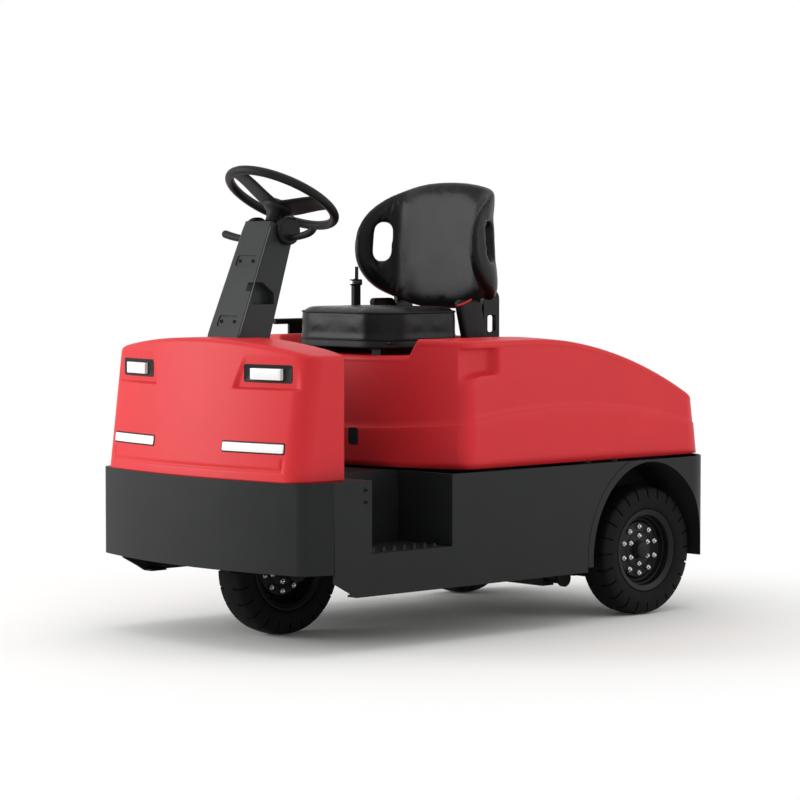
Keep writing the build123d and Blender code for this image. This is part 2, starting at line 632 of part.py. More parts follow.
def drive_motor():
    """Drive motor lying along Y ahead of the axle's housing, with cooling fins round its barrel."""
    y1 = REAR_AXLE_Y - AXLE_HOUSING
    y0 = y1 - MOTOR_LENGTH
    centre = Pos(0, MOTOR_Z)
    motor = along(centre * Circle(MOTOR_RADIUS - MOTOR_FIN), y0, y1)
    pitch = MOTOR_LENGTH / (MOTOR_FINS + 0.5)
    for index in range(MOTOR_FINS):
        start = y0 + (index + 0.5) * pitch
        motor += along(centre * Circle(MOTOR_RADIUS), start, start + pitch / 2)
    return motor


def tow_hitch():
    """Hitch bracket with level jaws and one upright bore through them all."""
    plate_y = TAIL_Y + HITCH_PLATE
    top = JAW_BASE + (JAW_COUNT - 1) * JAW_PITCH + JAW_THICKNESS
    half = JAW_HALF + HITCH_SIDE
    hitch = block(-half, half, TAIL_Y, plate_y, JAW_BASE - HITCH_EDGE, top + HITCH_EDGE)
    jaw_end = LENGTH / 2 - JAW_HALF
    jaw = Pos(0, (plate_y + jaw_end) / 2) * Rectangle(2 * JAW_HALF, jaw_end - plate_y)
    jaw += Pos(0, jaw_end) * Circle(JAW_HALF)
    jaw -= Pos(0, jaw_end) * Circle(PIN_BORE)
    for level in range(JAW_COUNT):
        z = JAW_BASE + level * JAW_PITCH
        hitch += upright(jaw, z, z + JAW_THICKNESS) - block(-FAR, FAR, 0, TAIL_Y, 0, FAR)
    return hitch


# Cowl, dash, column and controls

def cowl_block(inset):
    """Cowl's solid form, drawn in by inset: bowed nose, leaning back, arched over the top."""
    lean = tan(radians(COWL_LEAN))
    half = COWL_HALF - inset
    open_by = COWL_LENGTH if inset else 0

    def section(z):
        nose = NOSE + COWL_NOSE + inset + lean * (z - SKIRT_TOP)
        corner_y = nose + COWL_BOW
        back = COWL_REAR + open_by
        face = outline(
            ThreePointArc((-half, corner_y), (0, nose), (half, corner_y)),
            Polyline((half, corner_y), (half, back), (-half, back), (-half, corner_y)),
        )
        corners = [v for v in face.vertices() if v.Y < corner_y + 1]
        return (Pos(0, 0, z) * fillet(corners, COWL_CORNER - inset)).faces()[0]

    body = loft([section(SKIRT_TOP - inset), section(COWL_TOP + COWL_CROWN)], ruled=True)
    side = COWL_TOP - COWL_CROWN - inset
    crown = outline(
        ThreePointArc((-COWL_HALF, side), (0, COWL_TOP - inset), (COWL_HALF, side)),
        Polyline((COWL_HALF, side), (COWL_HALF, 0), (-COWL_HALF, 0), (-COWL_HALF, side)),
    )
    return body & along(crown, -FAR, FAR)


def cowl_skin():
    """Cowl's outer form with its top edge rounded."""
    body = cowl_block(0)
    low = COWL_TOP - COWL_CROWN - COWL_EDGE
    rear = COWL_REAR - COWL_EDGE
    top = [e for e in body.edges() if e.center().Z > low and e.bounding_box().min.Y < rear]
    return fillet(top, COWL_EDGE)


def lamp_pocket(size, grow):
    """Left lamp's box through the cowl's face, grown by a clearance."""
    x0, x1, z0, z1 = size
    return block(x0 - grow, x1 + grow, NOSE, COWL_REAR, SKIRT_TOP + z0 - grow, SKIRT_TOP + z1 + grow)


def lamp_facet():
    """Upright facet pressed into the cowl round the left headlamp, deepest at its lower edge."""
    low_x, high_x, outer_x, low, high = POCKET
    face = polygon(((low_x, SKIRT_TOP + low), (outer_x, SKIRT_TOP + low), (outer_x, SKIRT_TOP + high),
                    (high_x, SKIRT_TOP + high)))
    upper = cowl_block(0)
    return along(face, -FAR, 0) - Pos(0, POCKET_DEPTH, 0) * upper


def front_cowl():
    """Red moulded cowl, open at the back and the foot, cut for lamps and column."""
    shell = cowl_skin() - lamp_facet() - mirrored(lamp_facet())
    inner = cowl_block(COWL_WALL)
    deep = along(Pos(0, COWL_TOP / 2) * Rectangle(2 * COWL_HALF, COWL_TOP), -FAR, FAR)
    inner &= Pos(0, POCKET_DEPTH, 0) * (deep & cowl_block(COWL_WALL))
    shell -= inner
    for size in (HEADLAMP, MARKER):
        cut = lamp_pocket(size, FIT)
        shell -= cut + mirrored(cut)
    return shell - column(SLACK)


def lamps(size, sink):
    """A pair of lamp blocks set into the cowl's face."""
    lamp = lamp_pocket(size, 0) & (Pos(0, sink, 0) * cowl_block(0) - cowl_block(LAMP_DEPTH + sink))
    return pair(lamp)


def dash_panel():
    """Panel that closes the cowl towards the driver, cut round the column."""
    y1 = COWL_REAR - DASH_INSET
    slab = block(-FAR, FAR, y1 - DASH_PANEL, y1, SKIRT_TOP, FAR)
    return (cowl_block(COWL_WALL + FIT) & slab) - column(SLACK)


def column_profile(grow):
    """Side outline of the column in (Y, Z): upright foot, leaning upper part."""
    tilt = radians(WHEEL_TILT)
    head_y = WHEEL_CENTRE[1] - COLUMN_HEAD * sin(tilt)
    head_z = WHEEL_CENTRE[2] - COLUMN_HEAD * cos(tilt)
    half = COLUMN_HEAD_DEPTH / 2
    front_top = (head_y - half * cos(tilt), head_z + half * sin(tilt))
    rear_top = (head_y + half * cos(tilt), head_z - half * sin(tilt))
    face = polygon((
        (COLUMN_Y0, SKIRT_TOP), (COLUMN_Y0, COLUMN_KNEE_Z), front_top, rear_top,
        (COLUMN_Y1, COLUMN_KNEE_Z), (COLUMN_Y1, SKIRT_TOP),
    ))
    return offset(face, grow, kind=Kind.INTERSECTION) if grow else face


def column(grow):
    """Column's solid, narrower to its head, grown by a clearance."""
    foot = COLUMN_FOOT_HALF + grow
    head = COLUMN_HEAD_HALF + grow
    front = polygon(((-foot, 0), (foot, 0), (foot, COLUMN_KNEE_Z), (head, WHEEL_CENTRE_Z),
                     (-head, WHEEL_CENTRE_Z), (-foot, COLUMN_KNEE_Z)))
    return across(column_profile(grow), -foot, foot) & along(front, -FAR, FAR)


def steering_column():
    """Leaning column with round edges, two screw pads, a side pocket and the shaft's bore in its head."""
    body = column(0)
    post = [e for e in body.edges() if e.bounding_box().size.Z > COLUMN_HEAD]
    body = fillet(post, COLUMN_EDGE)
    (y0, z0), (y1, z1) = (COLUMN_Y0, COLUMN_KNEE_Z), column_head_front()
    run = sqrt((y1 - y0) ** 2 + (z1 - z0) ** 2)
    rise = ((y1 - y0) / run, (z1 - z0) / run)
    for place in PAD_PLACES:
        centre = (0, y0 + rise[0] * place, z0 + rise[1] * place)
        face = Plane(centre, x_dir=(1, 0, 0), z_dir=(0, -rise[1], rise[0]))
        pad = fillet(Rectangle(*PAD_SIZE).vertices(), PAD_SIZE[1] / 4)
        body -= extrude(face * pad, -PAD_DEPTH)
    body -= niche()
    bore = STEERING_FRAME * Pos(0, 0, -SHAFT_LENGTH) * Cylinder(SHAFT_RADIUS + FIT, 2 * COLUMN_HEAD)
    return body - bore


def column_head_front():
    """Upper end of the column's front face, in (Y, Z)."""
    tilt = radians(WHEEL_TILT)
    along_shaft, half = COLUMN_HEAD, COLUMN_HEAD_DEPTH / 2
    y = WHEEL_CENTRE[1] - along_shaft * sin(tilt) - half * cos(tilt)
    z = WHEEL_CENTRE[2] - along_shaft * cos(tilt) + half * sin(tilt)
    return y, z


def niche():
    """Pocket in the column's left side, its roof sloped down to the rear."""
    y0, y1, z0, z1 = NICHE
    middle = (y0 + y1) / 2
    face = polygon(((y0, z0), (y1, z0), (y1, (z0 + z1) / 2), (middle, z1), (y0, z1)))
    return across(face, COLUMN_FOOT_HALF - NICHE_DEPTH, FAR)


def pod_centre():
    """Centre of the control pods at the column's head, in (Y, Z)."""
    tilt = radians(WHEEL_TILT)
    y = WHEEL_CENTRE[1] - COLUMN_HEAD * sin(tilt) + POD_BACK * cos(tilt)
    z = WHEEL_CENTRE[2] - COLUMN_HEAD * cos(tilt) - POD_BACK * sin(tilt)
    return y, z


def control_pod():
    """Round switch pods on both sides of the column's head."""
    y, z = pod_centre()
    x0 = COLUMN_HEAD_HALF
    pod = rod(POD_RADIUS, x0, x0 + POD_LENGTH, y, z)
    pod = fillet(pod.faces().sort_by(Axis.X)[-1].edges(), POD_LENGTH / 3)
    return pair(pod - column(0))


def control_stalks():
    """Two rising stalks with thicker grips out of the pods."""
    y, z = pod_centre()
    stem = Pos(0, 0, STALK_REACH / 2) * Cylinder(STALK_RADIUS, STALK_REACH)
    grip = Pos(0, 0, STALK_REACH - STALK_GRIP_LENGTH / 2) * Cylinder(STALK_GRIP, STALK_GRIP_LENGTH)
    grip = fillet(grip.edges(), STALK_GRIP / 3)
    start = COLUMN_HEAD_HALF + POD_LENGTH
    stalk = Pos(start, y, z) * Rot(0, 90 - STALK_RISE, 0) * (stem + grip)
    return pair(stalk - block(-FAR, start, -FAR, FAR, 0, FAR))


def steering_wheel():
    """Dished wheel: round rim, broad tapered spokes, hub with a cone under it, and shaft."""
    wheel = Torus(WHEEL_RADIUS - WHEEL_RIM, WHEEL_RIM)
    reach = WHEEL_RADIUS - WHEEL_RIM
    fall = degrees(atan2(WHEEL_DISH, reach))
    length = sqrt(reach ** 2 + WHEEL_DISH ** 2)
    blade = polygon(((0, SPOKE_ROOT / 2), (length, SPOKE_TIP / 2), (length, -SPOKE_TIP / 2), (0, -SPOKE_ROOT / 2)))
    blade = extrude(blade, SPOKE_THICKNESS / 2, both=True)
    spoke = Pos(0, 0, -WHEEL_DISH) * Rot(0, -fall, 0) * blade
    for index in range(SPOKE_COUNT):
        wheel += Rot(0, 0, -90 + index * 360 / SPOKE_COUNT) * spoke
    hub = Pos(0, 0, -WHEEL_DISH) * Cylinder(HUB_RADIUS, HUB_HEIGHT)
    wheel += fillet(hub.edges(), HUB_HEIGHT / 4)
    wheel += Pos(0, 0, -WHEEL_DISH - BOSS_HEIGHT / 2) * Cone(BOSS_RADIUS, BOSS_TOP, BOSS_HEIGHT)
    shaft = SHAFT_LENGTH - WHEEL_DISH
    wheel += Pos(0, 0, -WHEEL_DISH - shaft / 2) * Cylinder(SHAFT_RADIUS, shaft)
    return STEERING_FRAME * wheel


def pedals():
    """Brake and accelerator pedals on arms from the dash panel."""
    pads = []
    y0 = COWL_REAR - DASH_INSET
    z = SKIRT_TOP + PEDAL_RISE
    for x in PEDAL_PLACES:
        pad = Pos(-x, y0 + PEDAL_REACH, z) * Rot(PEDAL_TILT, 0, 0) * Box(*PEDAL_SIZE)
        half = PEDAL_ARM / 2
        arm = block(-x - half, -x + half, y0, y0 + PEDAL_REACH, z - half, z + half)
        pads.append(pad + arm)
    return Compound(pads)


# Hood, seat and what rides on it

def hood_plan(inset):
    """Plan outline of the hood, bowed at the console and drawn in by inset."""
    bow = CONSOLE_BOW - sqrt(CONSOLE_BOW ** 2 - HOOD_HALF ** 2)
    side = CONSOLE_Y + bow
    face = outline(
        ThreePointArc((-HOOD_HALF, side), (0, CONSOLE_Y), (HOOD_HALF, side)),
        Polyline((HOOD_HALF, side), (HOOD_HALF, HOOD_TAIL), (-HOOD_HALF, HOOD_TAIL), (-HOOD_HALF, side)),
    )
    front = [v for v in face.vertices() if v.Y < side + 1]
    face = fillet(front, CONSOLE_CORNER)
    rear = [v for v in face.vertices() if v.Y > HOOD_TAIL - 1]
    face = fillet(rear, HOOD_CORNER)
    return offset(face, -inset) if inset else face


def deck_under(drop, foot, end, tail):
    """Side region under the deck in (Y, Z): level, then an arc falling to end, closed to tail at the foot."""
    deck = DECK_Z - drop
    start = HOOD_TAIL - DECK_FALL

    def fall(y):
        return deck - DECK_ARC + sqrt(DECK_ARC ** 2 - (y - start) ** 2)

    middle = (start + end) / 2
    return outline(
        Polyline((CONSOLE_Y - FAR, foot), (CONSOLE_Y - FAR, deck), (start, deck)),
        ThreePointArc((start, deck), (middle, fall(middle)), (end, fall(end))),
        Polyline((end, fall(end)), (tail, foot), (CONSOLE_Y - FAR, foot)),
    )


def deck_profile(drop, foot):
    """Side outline of the hood in (Y, Z): deck with a leaning tail and a rounded top, lowered by drop."""
    end = HOOD_TAIL - TAIL_LEAN - drop
    face = deck_under(drop, foot, end, HOOD_TAIL - drop)
    top = [v for v in face.vertices() if abs(v.X - end) < 1 and v.Y > foot + 1]
    return fillet(top, TAIL_ROUND - drop)


def crease_profile(foot):
    """Side outline of the hood below its crease, in (Y, Z)."""
    middle = (CONSOLE_Y + HOOD_TAIL) / 2
    front = (CONSOLE_Y, HOOD_Z + CREASE_FRONT)
    rear = (HOOD_TAIL, HOOD_Z + CREASE_TAIL)
    return outline(
        ThreePointArc(front, (middle, HOOD_Z + CREASE_MIDDLE), rear),
        Polyline(rear, (HOOD_TAIL, foot), (CONSOLE_Y, foot), front),
    )


def seat_well(grow):
    """Well under the seat, open to the front, with sides that lean out."""
    low = WELL_HALF + grow
    high = low + WELL_SLOPE
    z0 = WELL_Z - grow
    face = polygon(((-low, z0), (low, z0), (high, z0 + WELL_DEPTH), (high, FAR), (-high, FAR), (-high, z0 + WELL_DEPTH)))
    return along(face, -FAR, CONSOLE_Y + WELL_LENGTH + grow)


def grip_notch(grow):
    """Grip notch in the left front shoulder, its floor climbing to the rear."""
    y1 = CONSOLE_Y + GRIP_LENGTH + grow
    top = DECK_Z - GRIP_TOP + grow
    low = DECK_Z - GRIP_LOW - grow
    face = polygon(((CONSOLE_Y, low), (y1, low + GRIP_RISE), (y1, top), (CONSOLE_Y, top)))
    return across(face, HOOD_HALF - GRIP_DEPTH - grow, FAR)


def deck_locker(grow):
    """Shallow tray sunk into the deck behind the seat."""
    half, front, rear = LOCKER
    room = block(-half - grow, half + grow, CONSOLE_Y + front - grow, CONSOLE_Y + rear + grow, 0, FAR)
    return room - across(deck_profile(LOCKER_DEPTH + grow, 0), -FAR, FAR)


def hood_upper(inset):
    """Walls over the crease as a solid that leans in, drawn in by inset."""
    plan = Pos(0, 0, HOOD_Z - inset) * hood_plan(inset + HOOD_LEDGE)
    return extrude(plan, DECK_HEIGHT + TAIL_ROUND, taper=HOOD_DRAFT)


def hood_lower(inset):
    """Upright band under the crease as a solid, drawn in by inset."""
    foot = HOOD_Z - inset
    return upright(hood_plan(inset), foot, DECK_Z) & across(crease_profile(foot), -FAR, FAR)


def hood_block(inset):
    """Hood's solid form, drawn in by inset: creased walls under the deck's profile."""
    return (hood_upper(inset) + hood_lower(inset)) & across(deck_profile(inset, HOOD_Z - inset), -FAR, FAR)


def hood_skin():
    """Hood's outer form: deck's edges rounded all round, then the tail cut to its lean."""
    run = HOOD_TAIL + HOOD_CORNER
    upper = hood_upper(0) & across(deck_under(0, HOOD_Z, run, run), -FAR, FAR)
    limit = HOOD_Z + CREASE_MIDDLE + DECK_EDGE
    sides = [e for e in upper.edges() if e.center().Z > limit and e.bounding_box().size.Y > DECK_FALL / 4]
    body = fillet(sides, DECK_EDGE) + hood_lower(0)
    return body & across(deck_profile(0, HOOD_Z), -FAR, FAR)


def hood():
    """Red console and hood in one moulding, open below, with seat well, grip notches and deck tray."""
    skin = hood_skin() - seat_well(0) - grip_notch(0) - mirrored(grip_notch(0)) - deck_locker(0)
    core = hood_block(HOOD_WALL) - seat_well(HOOD_WALL) - grip_notch(HOOD_WALL)
    core -= mirrored(grip_notch(HOOD_WALL))
    core -= deck_locker(HOOD_WALL)
    x, width, height, rise = SWITCH_SLOT
    slot = fillet(Rectangle(width, height).vertices(), SWITCH_CORNER)
    return skin - core - along(Pos(x, HOOD_Z + rise) * slot, -FAR, CONSOLE_Y + WELL_LENGTH)


def hood_hinge():
    """Two hinge halves on the rear plate, each with the pin fixed in its barrel."""
    x1 = HINGE_X + HINGE_KNUCKLE
    half = rod(HINGE_RADIUS, HINGE_X, x1, HINGE_Y, HINGE_Z)
    half += block(HINGE_X, x1, TAIL_Y, TAIL_Y + HINGE_RADIUS / 2, HINGE_Z - HINGE_LEAF, HINGE_Z)
    half += rod(HINGE_PIN, HINGE_X, x1 + HINGE_KNUCKLE, HINGE_Y, HINGE_Z)
    return pair(half)


def hood_leaf():
    """Two hinge halves on the hood's tail, bored for the pins."""
    x0 = HINGE_X + HINGE_KNUCKLE + HINGE_GAP
    x1 = HINGE_X + 2 * HINGE_KNUCKLE
    half = rod(HINGE_RADIUS, x0, x1, HINGE_Y, HINGE_Z)
    half += block(x0, x1, HOOD_TAIL, TAIL_Y + HINGE_RADIUS / 2, HINGE_Z, HINGE_Z + HINGE_LEAF)
    half -= rod(HINGE_PIN + FIT, x0, x1, HINGE_Y, HINGE_Z)
    return pair(half - hood_block(0))


def hood_buffers():
    """Rubber buffers on the side plates' flanges under the hood's rim."""
    behind_tray, ahead_of_arch = BUFFER_SETBACKS
    x = HOOD_HALF - HOOD_WALL / 2
    buffers = []
    for y in (TRAY_Y1 + behind_tray, ARCH_Y - ahead_of_arch):
        buffer = upright(Pos(x, y) * Circle(BUFFER_RADIUS), SKIRT_TOP, HOOD_Z - FIT)
        buffers += [buffer, mirrored(buffer)]
    return Compound(buffers)


def seat_rails():
    """Two slide rails under the cushion."""
    x0 = RAIL_SEAT_X - RAIL_WIDTH / 2
    rail = block(x0, x0 + RAIL_WIDTH, CUSHION_Y0 + RAIL_INSET, CUSHION_Y1 - RAIL_INSET, WELL_Z, PAN_Z)
    return pair(rail)


def seat_cushion():
    """Cushion with round corners and a soft upper edge."""
    top = CUSHION_Z + CUSHION_THICKNESS
    cushion = block(-CUSHION_HALF, CUSHION_HALF, CUSHION_Y0, CUSHION_Y1, CUSHION_Z, top)
    cushion = fillet(cushion.edges().filter_by(Axis.Z), CUSHION_CORNER)
    return fillet(cushion.faces().sort_by(Axis.Z)[-1].edges(), CUSHION_EDGE)


def wing_place(beyond):
    """Point on the left wing's middle line, in (X, Y), that far beyond the bend."""
    turn = radians(BACK_TURN)
    x = BACK_FLAT + BACK_BEND * sin(turn) + beyond * cos(turn)
    y = CUSHION_Y1 + BACK_SETBACK + BACK_WALL / 2 - BACK_BEND * (1 - cos(turn)) - beyond * sin(turn)
    return x, y


def seat_back():
    """Backrest shell with wings turned forward, trimmed to an oval, and a hand hole in each wing."""
    middle = CUSHION_Y1 + BACK_SETBACK + BACK_WALL / 2
    bend = CenterArc((BACK_FLAT, middle - BACK_BEND), BACK_BEND, 90, -BACK_TURN)
    wing = Line(bend @ 1, wing_place(BACK_WING))
    half = Line((0, middle), (BACK_FLAT, middle)) + bend + wing
    strip = trace(half, BACK_WALL)
    shell = upright(strip, BACK_Z - BACK_DROP, BACK_Z + BACK_RISE)
    oval = outline(
        EllipticalCenterArc((0, BACK_Z), BACK_HALF, BACK_RISE, start_angle=0, arc_size=180),
        EllipticalCenterArc((0, BACK_Z), BACK_HALF, BACK_DROP, start_angle=180, arc_size=180),
    )
    shell &= along(oval, -FAR, FAR)
    shell += mirrored(shell)
    shell = fillet(shell.edges().filter_by(GeomType.PLANE, reverse=True), BACK_EDGE)
    turn = radians(BACK_TURN)
    normal = (sin(turn), cos(turn), 0)
    centre = (*wing_place(0), BACK_Z + HAND_HOLE_RISE)
    hole = Plane(centre, x_dir=(0, 0, 1), z_dir=normal) * SlotOverall(*HAND_HOLE)
    hole = extrude(hole, BACK_WALL, both=True)
    pivot = Pos(0, middle, BACK_Z)
    return pivot * Rot(-BACK_RECLINE, 0, 0) * pivot.inverse() * (shell - hole - mirrored(hole))


def seat_frame():
    """Pan under the cushion and a looped side plate behind it that carries the backrest."""
    half = CUSHION_HALF - PAN_INSET / 2
    rear = CUSHION_Y1 + ARM_REACH
    frame = block(-half, half, CUSHION_Y0 + 2 * PAN_INSET, CUSHION_Y1, PAN_Z, CUSHION_Z)
    top = PAN_Z + ARM_HEIGHT
    front = CUSHION_Y1 + ARM_START
    foot = CUSHION_Y1 - ARM_FOOT
    side = polygon(((foot, PAN_Z), (foot, CUSHION_Z), (front, CUSHION_Z), (front, top), (rear, top), (rear, PAN_Z)))
    corner = [v for v in side.vertices() if v.X > rear - 1 and v.Y > top - 1]
    side = fillet(corner, ARM_CORNER)
    window = Pos((front + rear) / 2, PAN_Z + ARM_HEIGHT / 3) * Rectangle(
        rear - front - 2 * LOOP_WALL, ARM_HEIGHT / 3)
    side -= fillet(window.vertices(), LOOP_WALL / 2)
    arm = across(side, ARM_X - LOOP_WALL / 2, ARM_X + LOOP_WALL / 2)
    return frame + arm + mirrored(arm) - seat_back()


def belt_buckle():
    """Seat belt buckle: strap up from the seat pan's right side, clip and tongue."""
    y = CUSHION_Y0 + BUCKLE_SETBACK
    width, depth, height = BUCKLE
    x = -CUSHION_HALF - 1.5 * depth
    x0, x1 = x - depth / 2, x + depth / 2
    y0, y1 = y - BUCKLE_STRAP / 2, y + BUCKLE_STRAP / 2
    top = PAN_Z + BUCKLE_RISE
    strap = block(x0, x1, y0, y1, PAN_Z - SEAT_PAN, top)
    strap += block(x0, -CUSHION_HALF + 2 * PAN_INSET, y0, y1, PAN_Z - SEAT_PAN, PAN_Z)
    clip = block(x0, x1, y - width / 2, y + width / 2, top, top + height)
    tongue_width, tongue_depth, tongue_height = TONGUE
    tongue = Pos(x, y, top + height + tongue_height / 2) * Box(tongue_depth, tongue_width, tongue_height)
    return strap + fillet(clip.edges(), depth / 4) + tongue


def parking_lever():
    """Parking lever on an upright plate on the right shoulder."""
    x = -WELL_HALF - WELL_SLOPE - PAN_INSET
    width, length, height = LEVER_PLATE
    y0 = CONSOLE_Y + LEVER_SETBACK + LEVER_BAR[1] / 2
    plate = block(x - width / 2, x + width / 2, y0, y0 + length, DECK_Z, DECK_Z + height)
    bar = Box(*LEVER_BAR)
    bar = fillet(bar.edges(), LEVER_BAR[0] / 4)
    return plate + Pos(x, y0 + length - LEVER_BAR[1] / 2, DECK_Z + height) * bar


def tail_lamps():
    """Two flat lamps on the rear plate."""
    x0, width, depth, height = TAIL_LAMP
    top = SKIRT_TOP - TAIL_LAMP_DROP
    lamp = block(x0, x0 + width, TAIL_Y, TAIL_Y + depth, top - height, top)
    return pair(fillet(lamp.faces().sort_by(Axis.Y)[-1].edges(), depth / 3))


AXLE_END = TYRE_HALF + FORK_GAP + FORK_ARM
PARTS = {
    **wheels(),
    "steer_fork": fork(),
    "front_axle": rod(FRONT_AXLE_RADIUS, -AXLE_END, AXLE_END, FRONT_AXLE_Y, TYRE_RADIUS),
    "turntable_carrier": turntable_carrier(),
    "front_bumper": front_bumper(),
    "side_plate_left": side_plate(),
    "side_plate_right": mirrored(side_plate()),
    "floor_plate": floor_plate(),
    "step_well_left": step_well(),
    "step_well_right": mirrored(step_well()),
    "battery_tray": battery_tray(),
    "battery_block": battery_block(),
    "rear_fender_left": rear_fender(),
    "rear_fender_right": mirrored(rear_fender()),
    "rear_plate": rear_plate(),
    "rear_frame": rear_frame(),
    "spring_beam": spring_beam(),
    "leaf_springs": leaf_springs(),
    "rear_axle": rear_axle(),
    "drive_motor": drive_motor(),
    "tow_hitch": tow_hitch(),
    "front_cowl": front_cowl(),
    "headlamps": lamps(HEADLAMP, POCKET_DEPTH + LAMP_SINK),
    "marker_lamps": lamps(MARKER, LAMP_SINK),
    "dash_panel": dash_panel(),
    "steering_column": steering_column(),
    "control_pod": control_pod(),
    "control_stalks": control_stalks(),
    "steering_wheel": steering_wheel(),
    "pedals": pedals(),
    "hood": hood(),
    "hood_hinge": hood_hinge(),
    "hood_leaf": hood_leaf(),
    "hood_buffers": hood_buffers(),
    "seat_rails": seat_rails(),
    "seat_cushion": seat_cushion(),
    "seat_back": seat_back(),
    "seat_frame": seat_frame(),
    "belt_buckle": belt_buckle(),
    "parking_lever": parking_lever(),
    "tail_lamps": tail_lamps(),
}

os.makedirs("parts", exist_ok=True)
for name, shape in PARTS.items():
    export_step(shape, f"parts/{name}.step")
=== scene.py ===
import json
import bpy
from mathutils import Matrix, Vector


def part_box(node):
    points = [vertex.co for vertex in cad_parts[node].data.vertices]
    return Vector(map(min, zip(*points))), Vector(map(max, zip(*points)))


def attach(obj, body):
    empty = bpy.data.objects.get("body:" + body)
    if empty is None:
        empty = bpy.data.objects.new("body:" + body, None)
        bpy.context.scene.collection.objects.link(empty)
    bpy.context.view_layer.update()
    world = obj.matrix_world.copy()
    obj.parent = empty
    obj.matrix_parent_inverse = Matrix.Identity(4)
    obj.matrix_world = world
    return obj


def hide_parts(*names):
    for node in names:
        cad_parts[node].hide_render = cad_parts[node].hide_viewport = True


bl_info = {
    "name": "Electric tow tractor",
    "version": (1, 0, 0),
    "blender": (4, 5, 0),
    "location": "View3D > Sidebar > Tow tractor",
    "description": "Dresses the packed tow tractor with mouldings, tyres, seat, finishes and a studio",
    "category": "Object",
}

from math import atan2, comb, cos, pi, radians, sin, sqrt

import bmesh
import bpy
import numpy as np
from mathutils import Vector

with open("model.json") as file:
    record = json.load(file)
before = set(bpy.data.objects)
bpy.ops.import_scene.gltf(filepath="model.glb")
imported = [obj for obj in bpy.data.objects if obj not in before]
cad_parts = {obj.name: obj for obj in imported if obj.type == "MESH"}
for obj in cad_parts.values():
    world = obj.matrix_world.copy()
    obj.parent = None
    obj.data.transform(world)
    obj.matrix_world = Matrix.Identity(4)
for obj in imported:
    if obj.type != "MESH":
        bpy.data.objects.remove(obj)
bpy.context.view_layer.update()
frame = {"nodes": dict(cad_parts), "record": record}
MM = 0.001
WELD_GAP = 0.02 * MM
CAD_GAP = 0.05 * MM
TINY = 1e-9
LEAST_CORNER = 0.5 * MM


def linear(text):
    """sRGB hex to linear RGBA: each channel through the sRGB curve."""
    channels = np.array([int(text[i:i + 2], 16) for i in (1, 3, 5)]) / 255
    low = channels / 12.92
    high = ((channels + 0.055) / 1.055) ** 2.4
    return (*np.where(channels <= 0.04045, low, high), 1.0)


def colour(name, text, words):
    """Colour property with a hex default."""
    return bpy.props.FloatVectorProperty(
        name=name, description=words, default=linear(text), size=4, min=0, max=1, subtype="COLOR")


def length(name, millimetres, words):
    """Length property with a default in millimetres."""
    return bpy.props.FloatProperty(
        name=name, description=words, default=millimetres * MM, min=0, unit="LENGTH", precision=4)


class TugColours(bpy.types.PropertyGroup):
    """Colours of the tractor's finishes."""

    red: colour("Red moulding", "#CD2A30", "Glossy moulded cowl and hood")
    grey: colour("Grey plate", "#1B1C1D", "Powder-coated steel plates")
    black: colour("Black plastic", "#131414", "Dash, steering wheel and controls")
    coat: colour("Black paint", "#0B0C0C", "Painted steel under the body")
    rubber: colour("Tyre rubber", "#0F0F0F", "Solid tyres")
    vinyl: colour("Seat vinyl", "#0C0D0D", "Cushion and backrest cover")
    floor: colour("Floor", "#F4F4F2", "Studio floor")


class TugSizes(bpy.types.PropertyGroup):
    """Sizes of the visible detail."""

    edge: length("Deck edge", 20, "Rounding of the hood's upper edge")
    ledge: length("Crease ledge", 3, "Step-in of the hood's walls at the crease")
    lug_depth: length("Shoulder slot", 6, "Depth of the tyre's shoulder slots")
    nut: length("Wheel nut", 9, "Half the width of a wheel nut across its corners")
    swell: length("Seat swell", 5, "Most that the seat's padding may swell")


def sizes():
    return bpy.context.scene.tug_sizes


def colours():
    return bpy.context.scene.tug_colours


# Surfaces as arrays

def patch(grid, close_rows=False, close_columns=False):
    """Points and quads over a grid of points; the last row or column may join the first."""
    rows, columns = grid.shape[:2]
    index = np.arange(rows * columns).reshape(rows, columns)
    if close_rows:
        index = np.vstack([index, index[:1]])
    if close_columns:
        index = np.hstack([index, index[:, :1]])
    quads = np.stack([index[:-1, :-1], index[:-1, 1:], index[1:, 1:], index[1:, :-1]], axis=-1)
    return grid.reshape(-1, 3), quads.reshape(-1, 4)


def tube(grid):
    """Patch whose columns close round."""
    return patch(grid, close_columns=True)


def xyz(x, y, z):
    """Points from their coordinates, which are spread to one shape."""
    return np.stack(np.broadcast_arrays(x, y, z), axis=-1)


def circle(steps):
    """Even angles once round."""
    return np.linspace(0, 2 * pi, steps, endpoint=False)


def joined(patches):
    """One set of points and quads from several."""
    points, quads = zip(*patches)
    starts = np.cumsum([0] + [len(block) for block in points[:-1]])
    return np.concatenate(points), np.concatenate([block + start for block, start in zip(quads, starts)])


def mirrored(part):
    """The same points and quads on the vehicle's right, wound the other way."""
    points, quads = part
    return points * (-1, 1, 1), quads[:, ::-1]


def lathe(profile, centre, steps, start=0.0):
    """Profile of (x, radius) points turned about a line along X through the centre, closed round."""
    angle = start + circle(steps)
    x, radius = profile.T[:, :, None]
    return tube(xyz(x, radius * np.cos(angle), radius * np.sin(angle)) + np.asarray(centre))


def ramp(t, soft=0.08):
    """0 below 0, 1 above 1 and straight between, with both bends rounded."""
    return (np.sqrt(t ** 2 + soft ** 2) - np.sqrt((t - 1) ** 2 + soft ** 2) + 1) / 2


def bulged(value, power):
    """Value's size raised to a power, with its sign kept."""
    return np.sign(value) * np.abs(value) ** power


def levels(*stops):
    """Sorted values through (start, end, count) stretches."""
    return np.unique(np.round(np.concatenate([np.linspace(*stop) for stop in stops]), 7))


def around(places, reach):
    """Stretches of close values about some places."""
    return [(place - reach, place + reach, 7) for place in places]


